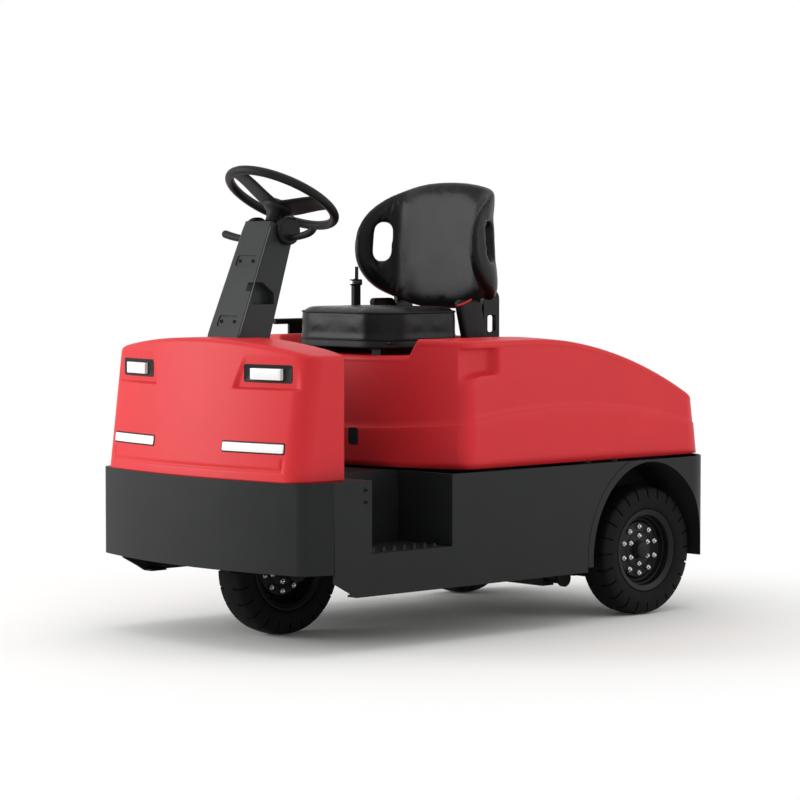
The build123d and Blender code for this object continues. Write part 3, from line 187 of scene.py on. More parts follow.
def rounded_loop(half_a, half_b, corner, steps=8, run=12):
    """Rounded rectangle as a loop of (a, b): quarter rounds joined by straight sides in equal runs."""
    corner = np.minimum(corner, np.minimum(half_a, half_b))
    turn = np.linspace(0, pi / 2, steps)
    parts = []
    for quarter, (sa, sb) in enumerate(((1, 1), (-1, 1), (-1, -1), (1, -1))):
        angle = turn + quarter * pi / 2
        a = sa * (half_a - corner) + corner * np.cos(angle)
        b = sb * (half_b - corner) + corner * np.sin(angle)
        parts.append(np.stack([a, b]))
    share = np.linspace(0, 1, run + 1)[1:-1]
    loop = []
    for this, after in zip(parts, parts[1:] + parts[:1]):
        loop += [this, this[:, -1:] + share * (after[:, :1] - this[:, -1:])]
    return np.concatenate(loop, axis=1)


def cap(half_a, half_b, corner, rings_mm):
    """Rounded plate as rings of a rounded rectangle, each (inset, height), closed along its middle."""
    rings = np.array(rings_mm) * MM
    middle = min(half_a, half_b)
    loops = [rounded_loop(half_a - inset, half_b - inset, max(corner - inset, LEAST_CORNER))
             for inset, _ in rings]
    loops.append(rounded_loop(half_a - middle, half_b - middle, 0.0))
    a, b = np.moveaxis(np.array(loops), 1, 0)
    heights = np.append(rings[:, 1], rings[-1, 1])
    return a, b, heights[:, None]


# Objects from surfaces

def raw_mesh(name, patches):
    """Mesh of patches as they are."""
    points, quads = joined(patches)
    mesh = bpy.data.meshes.new(name)
    mesh.from_pydata(points.tolist(), [], quads.tolist())
    return mesh


def weld(mesh, gap=WELD_GAP, outward=True):
    """Merges a mesh's points within a gap and, where asked, drops slivers and turns its faces outwards."""
    work = bmesh.new()
    work.from_mesh(mesh)
    bmesh.ops.remove_doubles(work, verts=work.verts, dist=gap)
    if outward:
        bmesh.ops.dissolve_degenerate(work, edges=work.edges, dist=gap / 2)
        bmesh.ops.recalc_face_normals(work, faces=work.faces)
    work.to_mesh(mesh)
    work.free()
    return mesh


def linked(name, data):
    """New object in the scene round its data."""
    made = bpy.data.objects.new(name, data)
    bpy.context.scene.collection.objects.link(made)
    return made


def dressed(name, mesh, body, slot, replaces=(), sharp=35, look=None):
    """Object round a mesh: smooth up to an angle, with its finish, body and the nodes it stands for."""
    mesh.shade_smooth()
    mesh.set_sharp_from_angle(angle=radians(sharp))
    mesh.materials.clear()
    mesh.materials.append(FINISHES[look or slot])
    made = linked(name, mesh)
    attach(made, body)
    if replaces:
        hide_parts(*replaces)
    return made


def piece(name, patches, body, slot, replaces=(), sharp=35, look=None):
    """Dressed object from patches, welded and turned outwards."""
    return dressed(name, weld(raw_mesh(name, patches)), body, slot, replaces, sharp, look)


def modifier(made, kind, **settings):
    """Adds a modifier with its settings."""
    added = made.modifiers.new(kind.title(), kind)
    for name, value in settings.items():
        setattr(added, name, value)
    return added


# Finishes

FINISHES = {}
OWN_FINISH = {"steering_column": "column_plastic"}
EVEN = (0.35, 0.65)  # part of a noise's range over which a tint changes


def settle(tree, node, settings=(), links=()):
    """Sets a node's own properties or inputs by name, and links outputs to its inputs."""
    for name, value in dict(settings).items():
        if isinstance(name, int) or name in node.inputs:
            node.inputs[name].default_value = value
        else:
            setattr(node, name, value)
    for name, source in dict(links).items():
        tree.links.new(source, node.inputs[name])
    return node


def add(tree, kind, settings=(), links=()):
    """Adds one node and settles it."""
    return settle(tree, tree.nodes.new(kind), settings, links)


def blank(name):
    """New node material with its shader and its Object coordinates."""
    made = bpy.data.materials.new(name)
    made.use_nodes = True
    tree = made.node_tree
    place = add(tree, "ShaderNodeTexCoord")
    return made, tree, tree.nodes["Principled BSDF"], place.outputs["Object"]


def noise(tree, place, size_mm, detail=3.0):
    """Noise whose features are about size_mm across."""
    made = add(tree, "ShaderNodeTexNoise", {"Scale": 1 / (size_mm * MM), "Detail": detail, "Roughness": 0.55},
               {"Vector": place})
    return made.outputs["Fac"]


def shade(base, factor):
    """Colour made darker or lighter by a factor."""
    return (*(min(1.0, c * factor) for c in base[:3]), 1.0)


def tint(tree, factor, base, dark, light, over=EVEN):
    """Colour from a dark to a light share of the base, as a factor goes over its range."""
    made = add(tree, "ShaderNodeValToRGB", links={"Fac": factor})
    for stop, place, share in zip(made.color_ramp.elements, over, (dark, light)):
        stop.position = place
        stop.color = shade(base, share)
    return made.outputs["Color"]


def span(tree, factor, low, high):
    """A factor from 0 to 1 carried to the range from low to high."""
    made = add(tree, "ShaderNodeMapRange", {"To Min": low, "To Max": high}, {"Value": factor})
    return made.outputs["Result"]


def relief(tree, height, depth_mm, rounding_mm=0.0):
    """Bump of a real depth, over edges rounded by a Bevel node where the piece has sharp ones."""
    links = {"Height": height}
    if rounding_mm:
        soft = add(tree, "ShaderNodeBevel", {"Radius": rounding_mm * MM, "samples": 6})
        links["Normal"] = soft.outputs["Normal"]
    bump = add(tree, "ShaderNodeBump", {"Strength": 1.0, "Distance": depth_mm * MM}, links)
    return bump.outputs["Normal"]


def gloss_moulding(name, base):
    """Glossy thermoformed plastic: an even colour under a clear, faintly wavy skin."""
    made, tree, shader, place = blank(name)
    drift = noise(tree, place, size_mm=160, detail=2.0)
    peel = noise(tree, place, size_mm=9, detail=2.0)
    settle(tree, shader, {"IOR": 1.49, "Specular IOR Level": 0.2}, {
        "Base Color": tint(tree, drift, base, dark=0.975, light=1.02),
        "Roughness": span(tree, peel, low=0.40, high=0.50),
        "Normal": relief(tree, peel, depth_mm=0.06)})
    return made


def powder_coat(name, base, rough=0.48, rounding=1.5):
    """Powder-coated steel: satin, with a fine pebble, drawn at 2.5 mm so that it shows."""
    made, tree, shader, place = blank(name)
    cloud = noise(tree, place, size_mm=130)
    pebble = noise(tree, place, size_mm=2.5, detail=2.0)
    settle(tree, shader, {"Specular IOR Level": 0.18}, {
        "Base Color": tint(tree, cloud, base, dark=0.88, light=1.1),
        "Roughness": span(tree, cloud, low=rough - 0.06, high=rough + 0.06),
        "Normal": relief(tree, pebble, depth_mm=0.10, rounding_mm=rounding)})
    return made


def grained_plastic(name, base, rough=0.5, grain=1.6):
    """Moulded plastic with a spark-eroded grain, drawn at the size given in millimetres so that it shows."""
    made, tree, shader, place = blank(name)
    cloud = noise(tree, place, size_mm=90)
    cells = add(tree, "ShaderNodeTexVoronoi", {"Scale": 1 / (grain * MM)}, {"Vector": place})
    settle(tree, shader, {"IOR": 1.5, "Specular IOR Level": 0.18}, {
        "Base Color": tint(tree, cloud, base, dark=0.85, light=1.15),
        "Roughness": span(tree, cloud, low=rough - 0.08, high=rough + 0.08),
        "Normal": relief(tree, cells.outputs["Distance"], depth_mm=0.12, rounding_mm=2.0)})
    return made


def tyre_rubber(name, base):
    """Solid tyre rubber: matt black with a grey bloom of dust in patches."""
    made, tree, shader, place = blank(name)
    dust = noise(tree, place, size_mm=60, detail=5.0)
    skin = noise(tree, place, size_mm=3)
    settle(tree, shader, {"Specular IOR Level": 0.1}, {
        "Base Color": tint(tree, dust, base, dark=0.8, light=1.5, over=(0.3, 0.75)),
        "Roughness": span(tree, dust, low=0.55, high=0.8),
        "Normal": relief(tree, skin, depth_mm=0.25)})
    return made


def cast_metal(name, base, metallic, rough, grain):
    """Cast or turned metal: mottled by its grain, drawn at the size given in millimetres."""
    made, tree, shader, place = blank(name)
    mottle = noise(tree, place, size_mm=grain, detail=4.0)
    settle(tree, shader, {"Metallic": metallic}, {
        "Base Color": tint(tree, mottle, base, dark=0.8, light=1.15),
        "Roughness": span(tree, mottle, low=rough - 0.08, high=rough + 0.1),
        "Normal": relief(tree, mottle, depth_mm=0.15, rounding_mm=1.0)})
    return made


def seat_vinyl(name, base):
    """Coated vinyl: leather-like cells about 3 mm across, with soft sheen on their tops."""
    made, tree, shader, place = blank(name)
    cells = add(tree, "ShaderNodeTexVoronoi", {"Scale": 1 / (3.0 * MM), "feature": "SMOOTH_F1"},
                {"Vector": place})
    wear = noise(tree, place, size_mm=120)
    settle(tree, shader, {"Specular IOR Level": 0.16}, {
        "Base Color": tint(tree, wear, base, dark=0.8, light=1.35),
        "Roughness": span(tree, wear, low=0.32, high=0.42),
        "Normal": relief(tree, cells.outputs["Distance"], depth_mm=0.2)})
    return made


def lamp_lens(name, base, rib_mm):
    """Clear lens over a reflector, with upright ribs of the width given and its colour darker in the ribs'
    troughs as painted shade.
    """
    made, tree, shader, place = blank(name)
    wave = add(tree, "ShaderNodeTexWave", {"Scale": 1 / (pi * rib_mm * MM), "bands_direction": "X"},
               {"Vector": place})
    ribs = wave.outputs["Fac"]
    clear = {"Roughness": 0.12, "IOR": 1.49, "Coat Weight": 0.6, "Coat Roughness": 0.05}
    settle(tree, shader, clear, {
        # Painted shade: the colour darkens where the ribs' bump is low, in their troughs.
        "Base Color": tint(tree, ribs, base, dark=0.86, light=1.0, over=(0.0, 1.0)),
        "Normal": relief(tree, ribs, depth_mm=0.5)})
    return made


class TUG_OT_finishes(bpy.types.Operator):
    """Makes the finishes and lays them on the CAD nodes"""

    bl_idname = "tug.finishes"
    bl_label = "Finishes"

    def execute(self, context):
        tone = colours()
        coat, rubber = tuple(tone.coat), tuple(tone.rubber)
        FINISHES.update({
            "red_moulding": gloss_moulding("glossy_red_moulding", tuple(tone.red)),
            "grey_plate": powder_coat("grey_powder_coat", tuple(tone.grey)),
            "black_plastic": grained_plastic("black_grained_plastic", tuple(tone.black)),
            "battery_case": powder_coat("battery_case_coat", coat, rough=0.6),
            "black_steel": powder_coat("black_satin_paint", coat, rough=0.42, rounding=1.0),
            "bright_steel": cast_metal("turned_steel", linear("#C9CBCC"), metallic=1.0, rough=0.28, grain=6),
            "casting": cast_metal("black_casting", coat, metallic=0.0, rough=0.6, grain=5),
            "tyre_rubber": tyre_rubber("solid_tyre_rubber", rubber),
            # Painted highlight: this lighter grey goes on the bead along the column's front edges, standing
            # in for the light that the rounded edges catch.
            "grey_edge_highlight": grained_plastic("grey_edge_highlight_plastic", linear("#626564"), rough=0.4),
            "column_plastic": grained_plastic("column_grained_plastic", linear("#2B2E2E")),
            "black_rubber": grained_plastic("black_rubber", rubber, rough=0.7, grain=2.5),
            "seat_vinyl": seat_vinyl("black_seat_vinyl", tuple(tone.vinyl)),
            "lamp_lens": lamp_lens("white_lamp_lens", linear("#F2F3F1"), rib_mm=5),
            "tail_lens": lamp_lens("red_lamp_lens", linear("#A3141A"), rib_mm=5),
        })
        slots = {entry["node"]: entry["material_slot"] for entry in frame["record"]["subparts"]}
        for name, node in frame["nodes"].items():
            node.data.materials.clear()
            node.data.materials.append(FINISHES[OWN_FINISH.get(name, slots[name])])
        return {"FINISHED"}


# Hood

CREASE_MID = 0.19  # Y where the crease is highest
CREASE_TOP = 0.684
CREASE_FALL = 0.19  # fall of the crease per square metre from there
CREASE_ROUND = 0.0015  # half the height over which the walls step in
DRAFT = 0.028  # walls lean in by this share above the crease
BOW = 1.0  # plan radius of the console's front
FRONT_CORNER = 0.06
REAR_CORNER = 0.10
DECK_BREAK = 0.06  # Y where the deck starts to fall
DECK_ARC = 1.6
TAIL_ROUND = 0.06
TAIL_DROP = 0.55  # share of the tail's round by which its rim falls
TAIL_QUARTER = 0.98  # share of a full quarter round, so that its end isn't upright
TAIL_SLOPE = 0.146  # tail leans in by this share of its height
CROWN_START = 0.25  # X from which the deck falls to its sides
CROWN = (0.006, 0.042)  # fall at the sides, by the console and at the tail
WELL_FLOOR = 0.85
WELL_HALF = 0.288
WELL_SLOPE = 0.028
WELL_REAR = 0.20
WELL_REAR_SLOPE = 0.02
LOCKER_HALF = 0.30
LOCKER_ENDS = (0.25, 0.54)
LOCKER_DEPTH = 0.016
LOCKER_SLOPE = 0.01
GRIP_X = 0.45
GRIP_ENDS = (-0.24, -0.11)  # grip notch: Y of its front and rear
GRIP_LOW = (0.77, 0.81)  # height of its floor there
GRIP_TOP = 0.878
GRIP_SLOPE = 0.016
GRIP_SHARE = 0.6  # most that its floor rises from the crease to the wall's top
NOTCH = ((0, 0.04), (0.06, 0.5), (0.12, 0.9), (0.2, 1), (0.4, 1), (0.6, 1), (0.8, 1), (0.94, 1), (0.98, 0.7),
         (1, 0.05))          # shares of its height and of its depth
SIDE_START = -0.15  # Y between which the plan's sides run straight
SIDE_END = 0.74
ROW_GAP = 0.004  # plain wall ends this far below the crease and the grip
HOOD_WALL = 0.005
SLOT_PLACE = (0.095, 0.601)  # switch slot's X and Z
SLOT_SIZE = (0.040, 0.053)
SLOT_RINGS = ((0, -4), (0, 1), (2, 1.5), (3.5, 1.2), (4, 0.8))  # inset and height, millimetres


def deck_height(x, y):
    """Deck's height: level, then an arc falling to the tail, less its crown, the seat well and the tray."""
    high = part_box("hood")[1]
    run = np.maximum(y - DECK_BREAK, 0)
    deck = high[2] - DECK_ARC + np.sqrt(DECK_ARC ** 2 - run ** 2)
    near = np.clip((y - (high[1] - TAIL_ROUND)) / TAIL_ROUND, 0, 1)
    deck = deck - TAIL_ROUND * TAIL_DROP * (1 - np.sqrt(1 - TAIL_QUARTER * near ** 2))
    beside = np.clip((np.abs(x) - CROWN_START) / (high[0] - CROWN_START), 0, 1)
    deck = deck - (CROWN[0] + (CROWN[1] - CROWN[0]) * ramp((y - CREASE_MID) / SIDE_END)) * beside ** 2
    across = ramp((np.abs(x) - WELL_HALF) / WELL_SLOPE)
    behind = ramp((y - WELL_REAR) / WELL_REAR_SLOPE)
    well = (deck - WELL_FLOOR) * (1 - across) * (1 - behind)
    tray = ramp((LOCKER_HALF - np.abs(x)) / LOCKER_SLOPE) * ramp((y - LOCKER_ENDS[0]) / LOCKER_SLOPE)
    tray = tray * ramp((LOCKER_ENDS[1] - y) / LOCKER_SLOPE)
    return deck - well - LOCKER_DEPTH * tray


def hood_plan(inset):
    """Middles of the plan's rounds: bow's Y, front and tail corners' X and Y; and X where the bow ends."""
    low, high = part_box("hood")
    bow_y = low[1] + BOW
    corner_x = high[0] - FRONT_CORNER
    corner_y = bow_y - sqrt((BOW - FRONT_CORNER) ** 2 - corner_x ** 2)
    bow_end = corner_x / (BOW - FRONT_CORNER) * (BOW - inset)
    return bow_y, corner_x, corner_y, high[0] - REAR_CORNER, high[1] - REAR_CORNER, bow_end


def hood_ends(x, inset):
    """Front and rear Y of the hood's plan at x, drawn in by inset: bow, corner arcs and tail."""
    bow_y, corner_x, corner_y, tail_x, tail_y, bow_end = hood_plan(inset)
    side = np.abs(x)
    arc = bow_y - np.sqrt((BOW - inset) ** 2 - side ** 2)
    corner = corner_y - np.sqrt(np.maximum((FRONT_CORNER - inset) ** 2 - (side - corner_x) ** 2, 0))
    bend = np.sqrt(np.maximum((REAR_CORNER - inset) ** 2 - np.maximum(side - tail_x, 0) ** 2, 0))
    return np.where(side < bow_end, arc, corner), tail_y + bend


def hood_normals(x, y, inset):
    """Outward plan normals at points of the plan's edge drawn in by inset."""
    bow_y, corner_x, corner_y, tail_x, tail_y, bow_end = hood_plan(inset)
    side = np.abs(x)
    at_front = y < corner_y + TINY
    at_tail = y > tail_y - TINY
    at_bow = at_front & (side < bow_end)
    centre_x = np.where(at_bow, 0, np.where(at_front, corner_x, tail_x)) * np.sign(x)
    centre_y = np.where(at_bow, bow_y, np.where(at_front, corner_y, tail_y))
    centre_x = np.where(at_tail & (side < tail_x), x, centre_x)
    straight = ~at_front & ~at_tail
    nx = np.where(straight, np.sign(x), x - centre_x)
    ny = np.where(straight, 0, y - centre_y)
    long = np.maximum(np.hypot(nx, ny), TINY)
    return nx / long, ny / long


def hood_grids():
    """Deck grid inside the rounded edge, and wall grid from its rim down to the foot.

    The deck is a height over (x, y). Each wall column goes from a deck rim point out over a quarter
    round and down: leaning wall, ledge at the crease, upright band, foot. Grip notches push the
    upper front corners in to one plane.
    """
    low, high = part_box("hood")
    edge, ledge = sizes().edge, sizes().ledge
    half = high[0] - edge
    bends = (WELL_HALF, WELL_HALF + WELL_SLOPE, LOCKER_HALF)
    right = levels((0, half, 40), (0.4, half, 24), *around(bends, 0.008))
    x = np.concatenate([-right[:0:-1], right])
    front, rear = hood_ends(x, edge)
    tail = TAIL_SLOPE * np.maximum(hood_normals(x, rear, edge)[1], 0) * (deck_height(x, rear) - low[2])
    stops = (WELL_REAR, WELL_REAR + WELL_REAR_SLOPE, *LOCKER_ENDS)
    middle = levels((SIDE_START, SIDE_END, 60), (SIDE_START, GRIP_ENDS[1] + 0.03, 24), *around(stops, 0.01))
    share = np.linspace(0, 1, 16)[:, None]
    ahead = front + (SIDE_START - front) * share
    astern = SIDE_END + (rear - tail - SIDE_END) * share
    y = np.vstack([ahead[:-1], np.repeat(middle[:, None], len(x), axis=1), astern[1:]])
    deck = xyz(x, y, deck_height(x, y))
    rim = np.concatenate([deck[0], deck[1:, -1], deck[-1, -2::-1], deck[-2:0:-1, 0]])
    px, py, pz = rim.T
    fall_back = np.concatenate([0 * x, np.zeros(len(y) - 2), tail[::-1], np.zeros(len(y) - 2)])
    nx, ny = hood_normals(px, py + fall_back, edge)
    ox, oy = px + edge * nx, py + fall_back + edge * ny
    crease = CREASE_TOP - CREASE_FALL * (oy - CREASE_MID) ** 2
    wall_top = pz - edge
    grip = np.interp(oy, GRIP_ENDS, GRIP_LOW)
    grip = np.minimum(grip, crease + GRIP_SHARE * (wall_top - crease))
    notch_top = np.minimum(GRIP_TOP, wall_top - ROW_GAP / 2)
    lean = TAIL_SLOPE * np.maximum(ny, 0)
    beyond = np.maximum(np.abs(ox) - GRIP_X, 0) * (1 - ramp((oy - GRIP_ENDS[1]) / GRIP_SLOPE, 0.3))
    rows = []

    def row(z, inset, push=0.0):
        inset = inset + lean * (z - low[2])
        rows.append(xyz(ox - inset * nx - np.sign(ox) * push * beyond, oy - inset * ny, z))

    for t in np.linspace(0, 1, 7):
        row(low[2] + t * (crease - ROW_GAP - low[2]), 0.0)
    row(crease - CREASE_ROUND, ledge / 6)
    row(crease, ledge / 2)
    start = crease + CREASE_ROUND
    for t in np.linspace(0, 1, 7):
        z = start + t * (grip - ROW_GAP - start)
        row(z, ledge + DRAFT * (z - crease))
    for t, push in NOTCH:
        z = grip + t * (notch_top - grip)
        row(z, ledge + DRAFT * (z - crease), push)
    drawn = ledge + DRAFT * (wall_top - crease)
    for angle in np.linspace(0, pi / 2, 9):
        row(wall_top + edge * sin(angle), drawn * (1 - angle / (pi / 2)) + edge * (1 - cos(angle)))
    rows[-1] = rim
    return deck, np.array(rows)


class TUG_OT_hood(bpy.types.Operator):
    """Makes the red seat console and hood"""

    bl_idname = "tug.hood"
    bl_label = "Hood"

    def execute(self, context):
        deck, walls = hood_grids()
        made = piece("hood_moulding", [patch(deck), tube(walls)], "hood", "red_moulding",
                     ["hood"], 50)
        modifier(made, "SOLIDIFY", thickness=HOOD_WALL, offset=-1)
        return {"FINISHED"}


class TUG_OT_console_slot(bpy.types.Operator):
    """Makes the black switch slot in the console's front"""

    bl_idname = "tug.console_slot"
    bl_label = "Console slot"

    def execute(self, context):
        x, z = SLOT_PLACE
        a, b, h = cap(SLOT_SIZE[0] / 2, SLOT_SIZE[1] / 2, SLOT_SIZE[0] / 4, SLOT_RINGS)
        grid = xyz(x + a, hood_ends(x + a, 0.0)[0] - h, z + b)
        piece("console_slot", [tube(grid)], "hood", "black_plastic")
        return {"FINISHED"}


# Cowl and lamps

COWL_BOW = 1.772  # plan radius of the cowl's front
COWL_LEAN = 0.129  # setback for each unit of height
COWL_CORNER = 0.07
COWL_SLOPE_X = 0.4  # X at which the front's slope starts the corner's arc
COWL_FALL = 0.042  # crown above the cowl's sides
COWL_EDGE = 0.016
COWL_WALL = 0.004
ARCH_START = 0.80  # height from which the rows bend to the arch
FACET_LOW = 0.768  # lamp facet: lower edge, upper end, inner edge there and outer edge
FACET_HIGH = 0.868
FACET_INNER = (0.176, 0.213)
FACET_OUTER = 0.41
FACET_BLEND = (0.012, 0.007, 0.02)  # width of its inner, lower and outer slopes
RIDGE_Z = 0.537
RIDGE_END = (0.39, 0.566)
RIDGE_DEPTH = 0.0035
RIDGE_HALF = 0.0055
FINE_X = ((0.165, 0.235, 40), (0.38, 16))  # closer columns by the facets' edges
FINE_Z = ((-0.008, 0.012, 13), (0.525, 0.575, 24))  # closer rows by the facets' lower edge and the ridge
HEADLAMP = (0.212, 0.394, 0.789, 0.842)  # inner and outer X, lower and upper Z
HEAD_LENS = (0.247, 0.360, 0.7975, 0.831)
MARKER = (0.162, 0.394, 0.588, 0.614)
# The marker lenses' black rim, grown this far round them, and its rings two lines down are painted shadow:
# they stand in for the shadow lines along the lenses' edges.
MARKER_SHADE_WIDTH = 0.004
BEZEL_RINGS = ((0, -5), (0, 0.4), (1, 1.2), (3, 1.2), (5, 0.3))  # inset and height, millimetres
MARKER_SHADE_RINGS = ((0, -5), (0, 0.6), (1, 1.2))
HEAD_RINGS = ((0, -5), (0, 10), (0.6, 11.4), (2, 12))
MARKER_RINGS = ((0, -5), (0, 2.5), (0.8, 3.6), (3, 4.2))


def cowl_front(x, z):
    """Front face's Y: a bow over x, leaning back with height, with lamp facets and the pressed ridge."""
    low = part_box("front_cowl")[0]
    side = np.abs(x)
    y = low[1] + side ** 2 / (2 * COWL_BOW) + COWL_LEAN * (z - low[2])
    return y + cowl_press(side, z)


def cowl_press(side, z):
    """Depth pressed into the cowl: an upright facet round each headlamp and a ridge line below."""
    inner_blend, lower_blend, outer_blend = FACET_BLEND
    inner = np.interp(z, (FACET_LOW, FACET_HIGH), FACET_INNER)
    mask = ramp((side - inner) / inner_blend) * ramp((z - FACET_LOW) / lower_blend)
    mask = mask * (1 - ramp((side - FACET_OUTER) / outer_blend))
    facet = COWL_LEAN * np.clip(FACET_HIGH - z, 0, None) * mask
    end_x, end_z = RIDGE_END
    level = np.hypot(np.maximum(side - end_x, 0), z - RIDGE_Z)
    upturn = np.hypot(side - end_x, np.maximum(np.abs(z - (RIDGE_Z + end_z) / 2) - (end_z - RIDGE_Z) / 2, 0))
    line = np.minimum(level, upturn)
    return facet + RIDGE_DEPTH * np.exp(-(line / RIDGE_HALF) ** 2)


def cowl_grids():
    """Wall grid and roof grid of the cowl.

    A column's foot runs along the sides, the corner arcs and the bowed front. Rows rise to the arch,
    z = crown - fall (x / half)^2, turn in over a quarter round, and the roof runs straight back.
    """
    low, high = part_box("front_cowl")
    half = high[0]
    share = np.linspace(0, 1, 13)
    sides = len(share) - 1
    bend = atan2(COWL_SLOPE_X, COWL_BOW)
    meet = half - COWL_CORNER + COWL_CORNER * sin(bend)
    corner_y = meet ** 2 / (2 * COWL_BOW) + COWL_CORNER * cos(bend)
    turn = np.linspace(bend - pi / 2, 0, 18)[1:]
    inner, (outer, count) = FINE_X
    front_x = levels((0, meet, 110), inner, (outer, meet, count))
    arc_x = half - COWL_CORNER + COWL_CORNER * np.cos(turn)
    arc_y = corner_y + COWL_CORNER * np.sin(turn)
    right_x = np.concatenate([front_x, arc_x, np.full(sides, half)])
    right_y = np.concatenate([front_x ** 2 / (2 * COWL_BOW), arc_y, np.full(sides, corner_y)])
    right_back = np.concatenate([np.zeros(len(front_x) + len(arc_x)), share[1:]])
    slope = front_x / COWL_BOW
    right_nx = np.concatenate([slope / np.hypot(slope, 1), np.cos(turn), np.ones(sides)])
    right_ny = np.concatenate([-1 / np.hypot(slope, 1), np.sin(turn), np.zeros(sides)])

    def both(values, sign=1):
        return np.concatenate([sign * values[:0:-1], values])

    x, y, back = both(right_x, -1), both(right_y), both(right_back)
    nx, ny = both(right_nx, -1), both(right_ny)
    top = high[2] - COWL_FALL * (x / half) ** 2 - COWL_EDGE
    (below, above, count), ridge = FINE_Z
    lower = levels((low[2], ARCH_START, 70), (FACET_LOW + below, FACET_LOW + above, count), ridge)
    rows = [(z, 0.0) for z in lower]
    rows += [(ARCH_START + t * (top - ARCH_START), 0.0) for t in np.linspace(0, 1, 20)[1:]]
    rows += [(top + COWL_EDGE * sin(angle), COWL_EDGE * (1 - cos(angle)))
             for angle in np.linspace(0, pi / 2, 8)[1:]]
    points = []
    for z, inset in rows:
        lead = low[1] + y + COWL_LEAN * (z - low[2])
        along = lead + back * (high[1] - lead)
        press = cowl_press(np.abs(x), z) * np.clip(-ny, 0, 1) * (back == 0)
        points.append(xyz(x - inset * nx, along + press - inset * ny, z))
    walls = np.array(points)
    rim = walls[-1, sides:len(x) - sides]
    roof = np.repeat(rim[None], len(share), axis=0)
    roof[..., 1] += share[:, None] * (high[1] - rim[:, 1])
    return walls, roof


class TUG_OT_cowl(bpy.types.Operator):
    """Makes the red front cowl"""

    bl_idname = "tug.cowl"
    bl_label = "Cowl"

    def execute(self, context):
        walls, roof = cowl_grids()
        made = piece("cowl_moulding", [patch(walls), patch(roof)], "chassis", "red_moulding",
                     ["front_cowl"], 50)
        modifier(made, "SOLIDIFY", thickness=COWL_WALL, offset=-1)
        return {"FINISHED"}


def on_cowl(size, corner_mm, rings, grown=0.0):
    """Rounded plate laid on the cowl's front over a size, grown all round, on both sides."""
    x0, x1, z0, z1 = np.array(size) + grown * np.array((-1, 1, -1, 1))
    a, b, h = cap((x1 - x0) / 2, (z1 - z0) / 2, corner_mm * MM, rings)
    x, z = (x0 + x1) / 2 + a, (z0 + z1) / 2 + b
    left = tube(xyz(x, cowl_front(x, z) - h, z))
    return [left, mirrored(left)]


class TUG_OT_lamps(bpy.types.Operator):
    """Makes the headlamps, each in a black bezel, and the marker lamps, each in a black rim of painted shadow
    """

    bl_idname = "tug.lamps"
    bl_label = "Lamps"

    def execute(self, context):
        # The black rims round the marker lenses are painted shadow; the headlamps' bezels are black parts.
        bezels_and_shade_rims = on_cowl(HEADLAMP, 7, BEZEL_RINGS) + on_cowl(MARKER, 6, MARKER_SHADE_RINGS, MARKER_SHADE_WIDTH)
        piece("lamp_bezels_and_marker_shade_rims", bezels_and_shade_rims, "chassis", "black_plastic")
        piece("headlamp_lenses", on_cowl(HEAD_LENS, 3, HEAD_RINGS), "chassis", "lamp_lens", ["headlamps"])
        piece("marker_lenses", on_cowl(MARKER, 4, MARKER_RINGS), "chassis", "lamp_lens", ["marker_lamps"])
        return {"FINISHED"}


# Wheels

LUGS = 24
LUG_HALF = 0.0024  # half a slot's width, at LUG_DROP in from the tread
LUG_DROP = 0.020
WHEELS = {  # body, and the side that the disc faces
    "front": ("front_wheel", 1),
    "rear_left": ("rear_wheel_left", 1),
    "rear_right": ("rear_wheel_right", -1),
}
TYRE_SECTION = (  # bead to tread: in from the side and in from the tread, millimetres
    (14, 90), (13, 77), (9, 73), (6, 70), (4, 66), (2, 60), (0.6, 52), (0, 44), (0.3, 40), (0.6, 36),
    (1.2, 30), (2.4, 22), (4.5, 14), (7, 9), (11, 5.5), (17, 3.6), (26, 2.2), (34, 1.2), (36, 1), (46, 0.2))
SLOT_ROWS = slice(9, 18)  # section's points that a slot sinks, and the share of the depth at the first
SLOT_LEAD = 0.9
SLOT_FOOT = 1.25  # width at the slot's mouth to that at its bottom
NUT_RINGS = ((10, 0.075), (6, 0.045))
NUT = ((0, 1), (6, 1), (7.5, 0.85), (7.5, 0.6))  # height in millimetres and share of the nut's size
STUD = ((7, 0.58), (11, 0.56), (13, 0.4), (13.5, 0))
DISC_FACE = 0.012  # disc's outer face beside the wheel's middle
LIP_INSET = 0.008
HUB_INSET = 0.020  # hub cap's foot, in from the solid rim's end
HUB_MOST = 0.028
HUB_CAP = ((10, 0), (10, 18), (8.5, 24), (6, 27), (0, 28))  # out from its start and radius, millimetres
DISC = ((4, 31), (3, 34), (3, 56), (1, 58), (0, 60), (0, 87), (-2, 90), (-7, 94), (-8, 98), (-5, 102),
        (4, 106), (10, 107.5), (11, 110))
OUTER_LIP = ((-10, 112), (-6, 113.5), (-4, 118), (-2, 124), (0, 128), (0, 130.5), (-1.5, 132), (-5.6, 132),
             (-5.6, 118))
INNER_LIP = ((5.6, 118), (5.6, 132), (0, 132), (0, 112))
DISC_BACK = ((-15, 110), (-8, 88), (-8, 52), (-28, 52), (-28, 30.1), (-28.1, 0))


def wheel_nodes(name):
    """Tyre's and rim's node names of a wheel, its centre, and the tyre's half width and radius."""
    base, _, side = name.partition("_")
    tail = f"_{side}" if side else ""
    tyre_node, rim_node = f"{base}_tyre{tail}", f"{base}_rim{tail}"
    low, high = (np.array(corner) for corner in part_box(tyre_node))
    return tyre_node, rim_node, (low + high) / 2, (high[0] - low[0]) / 2, (high[2] - low[2]) / 2


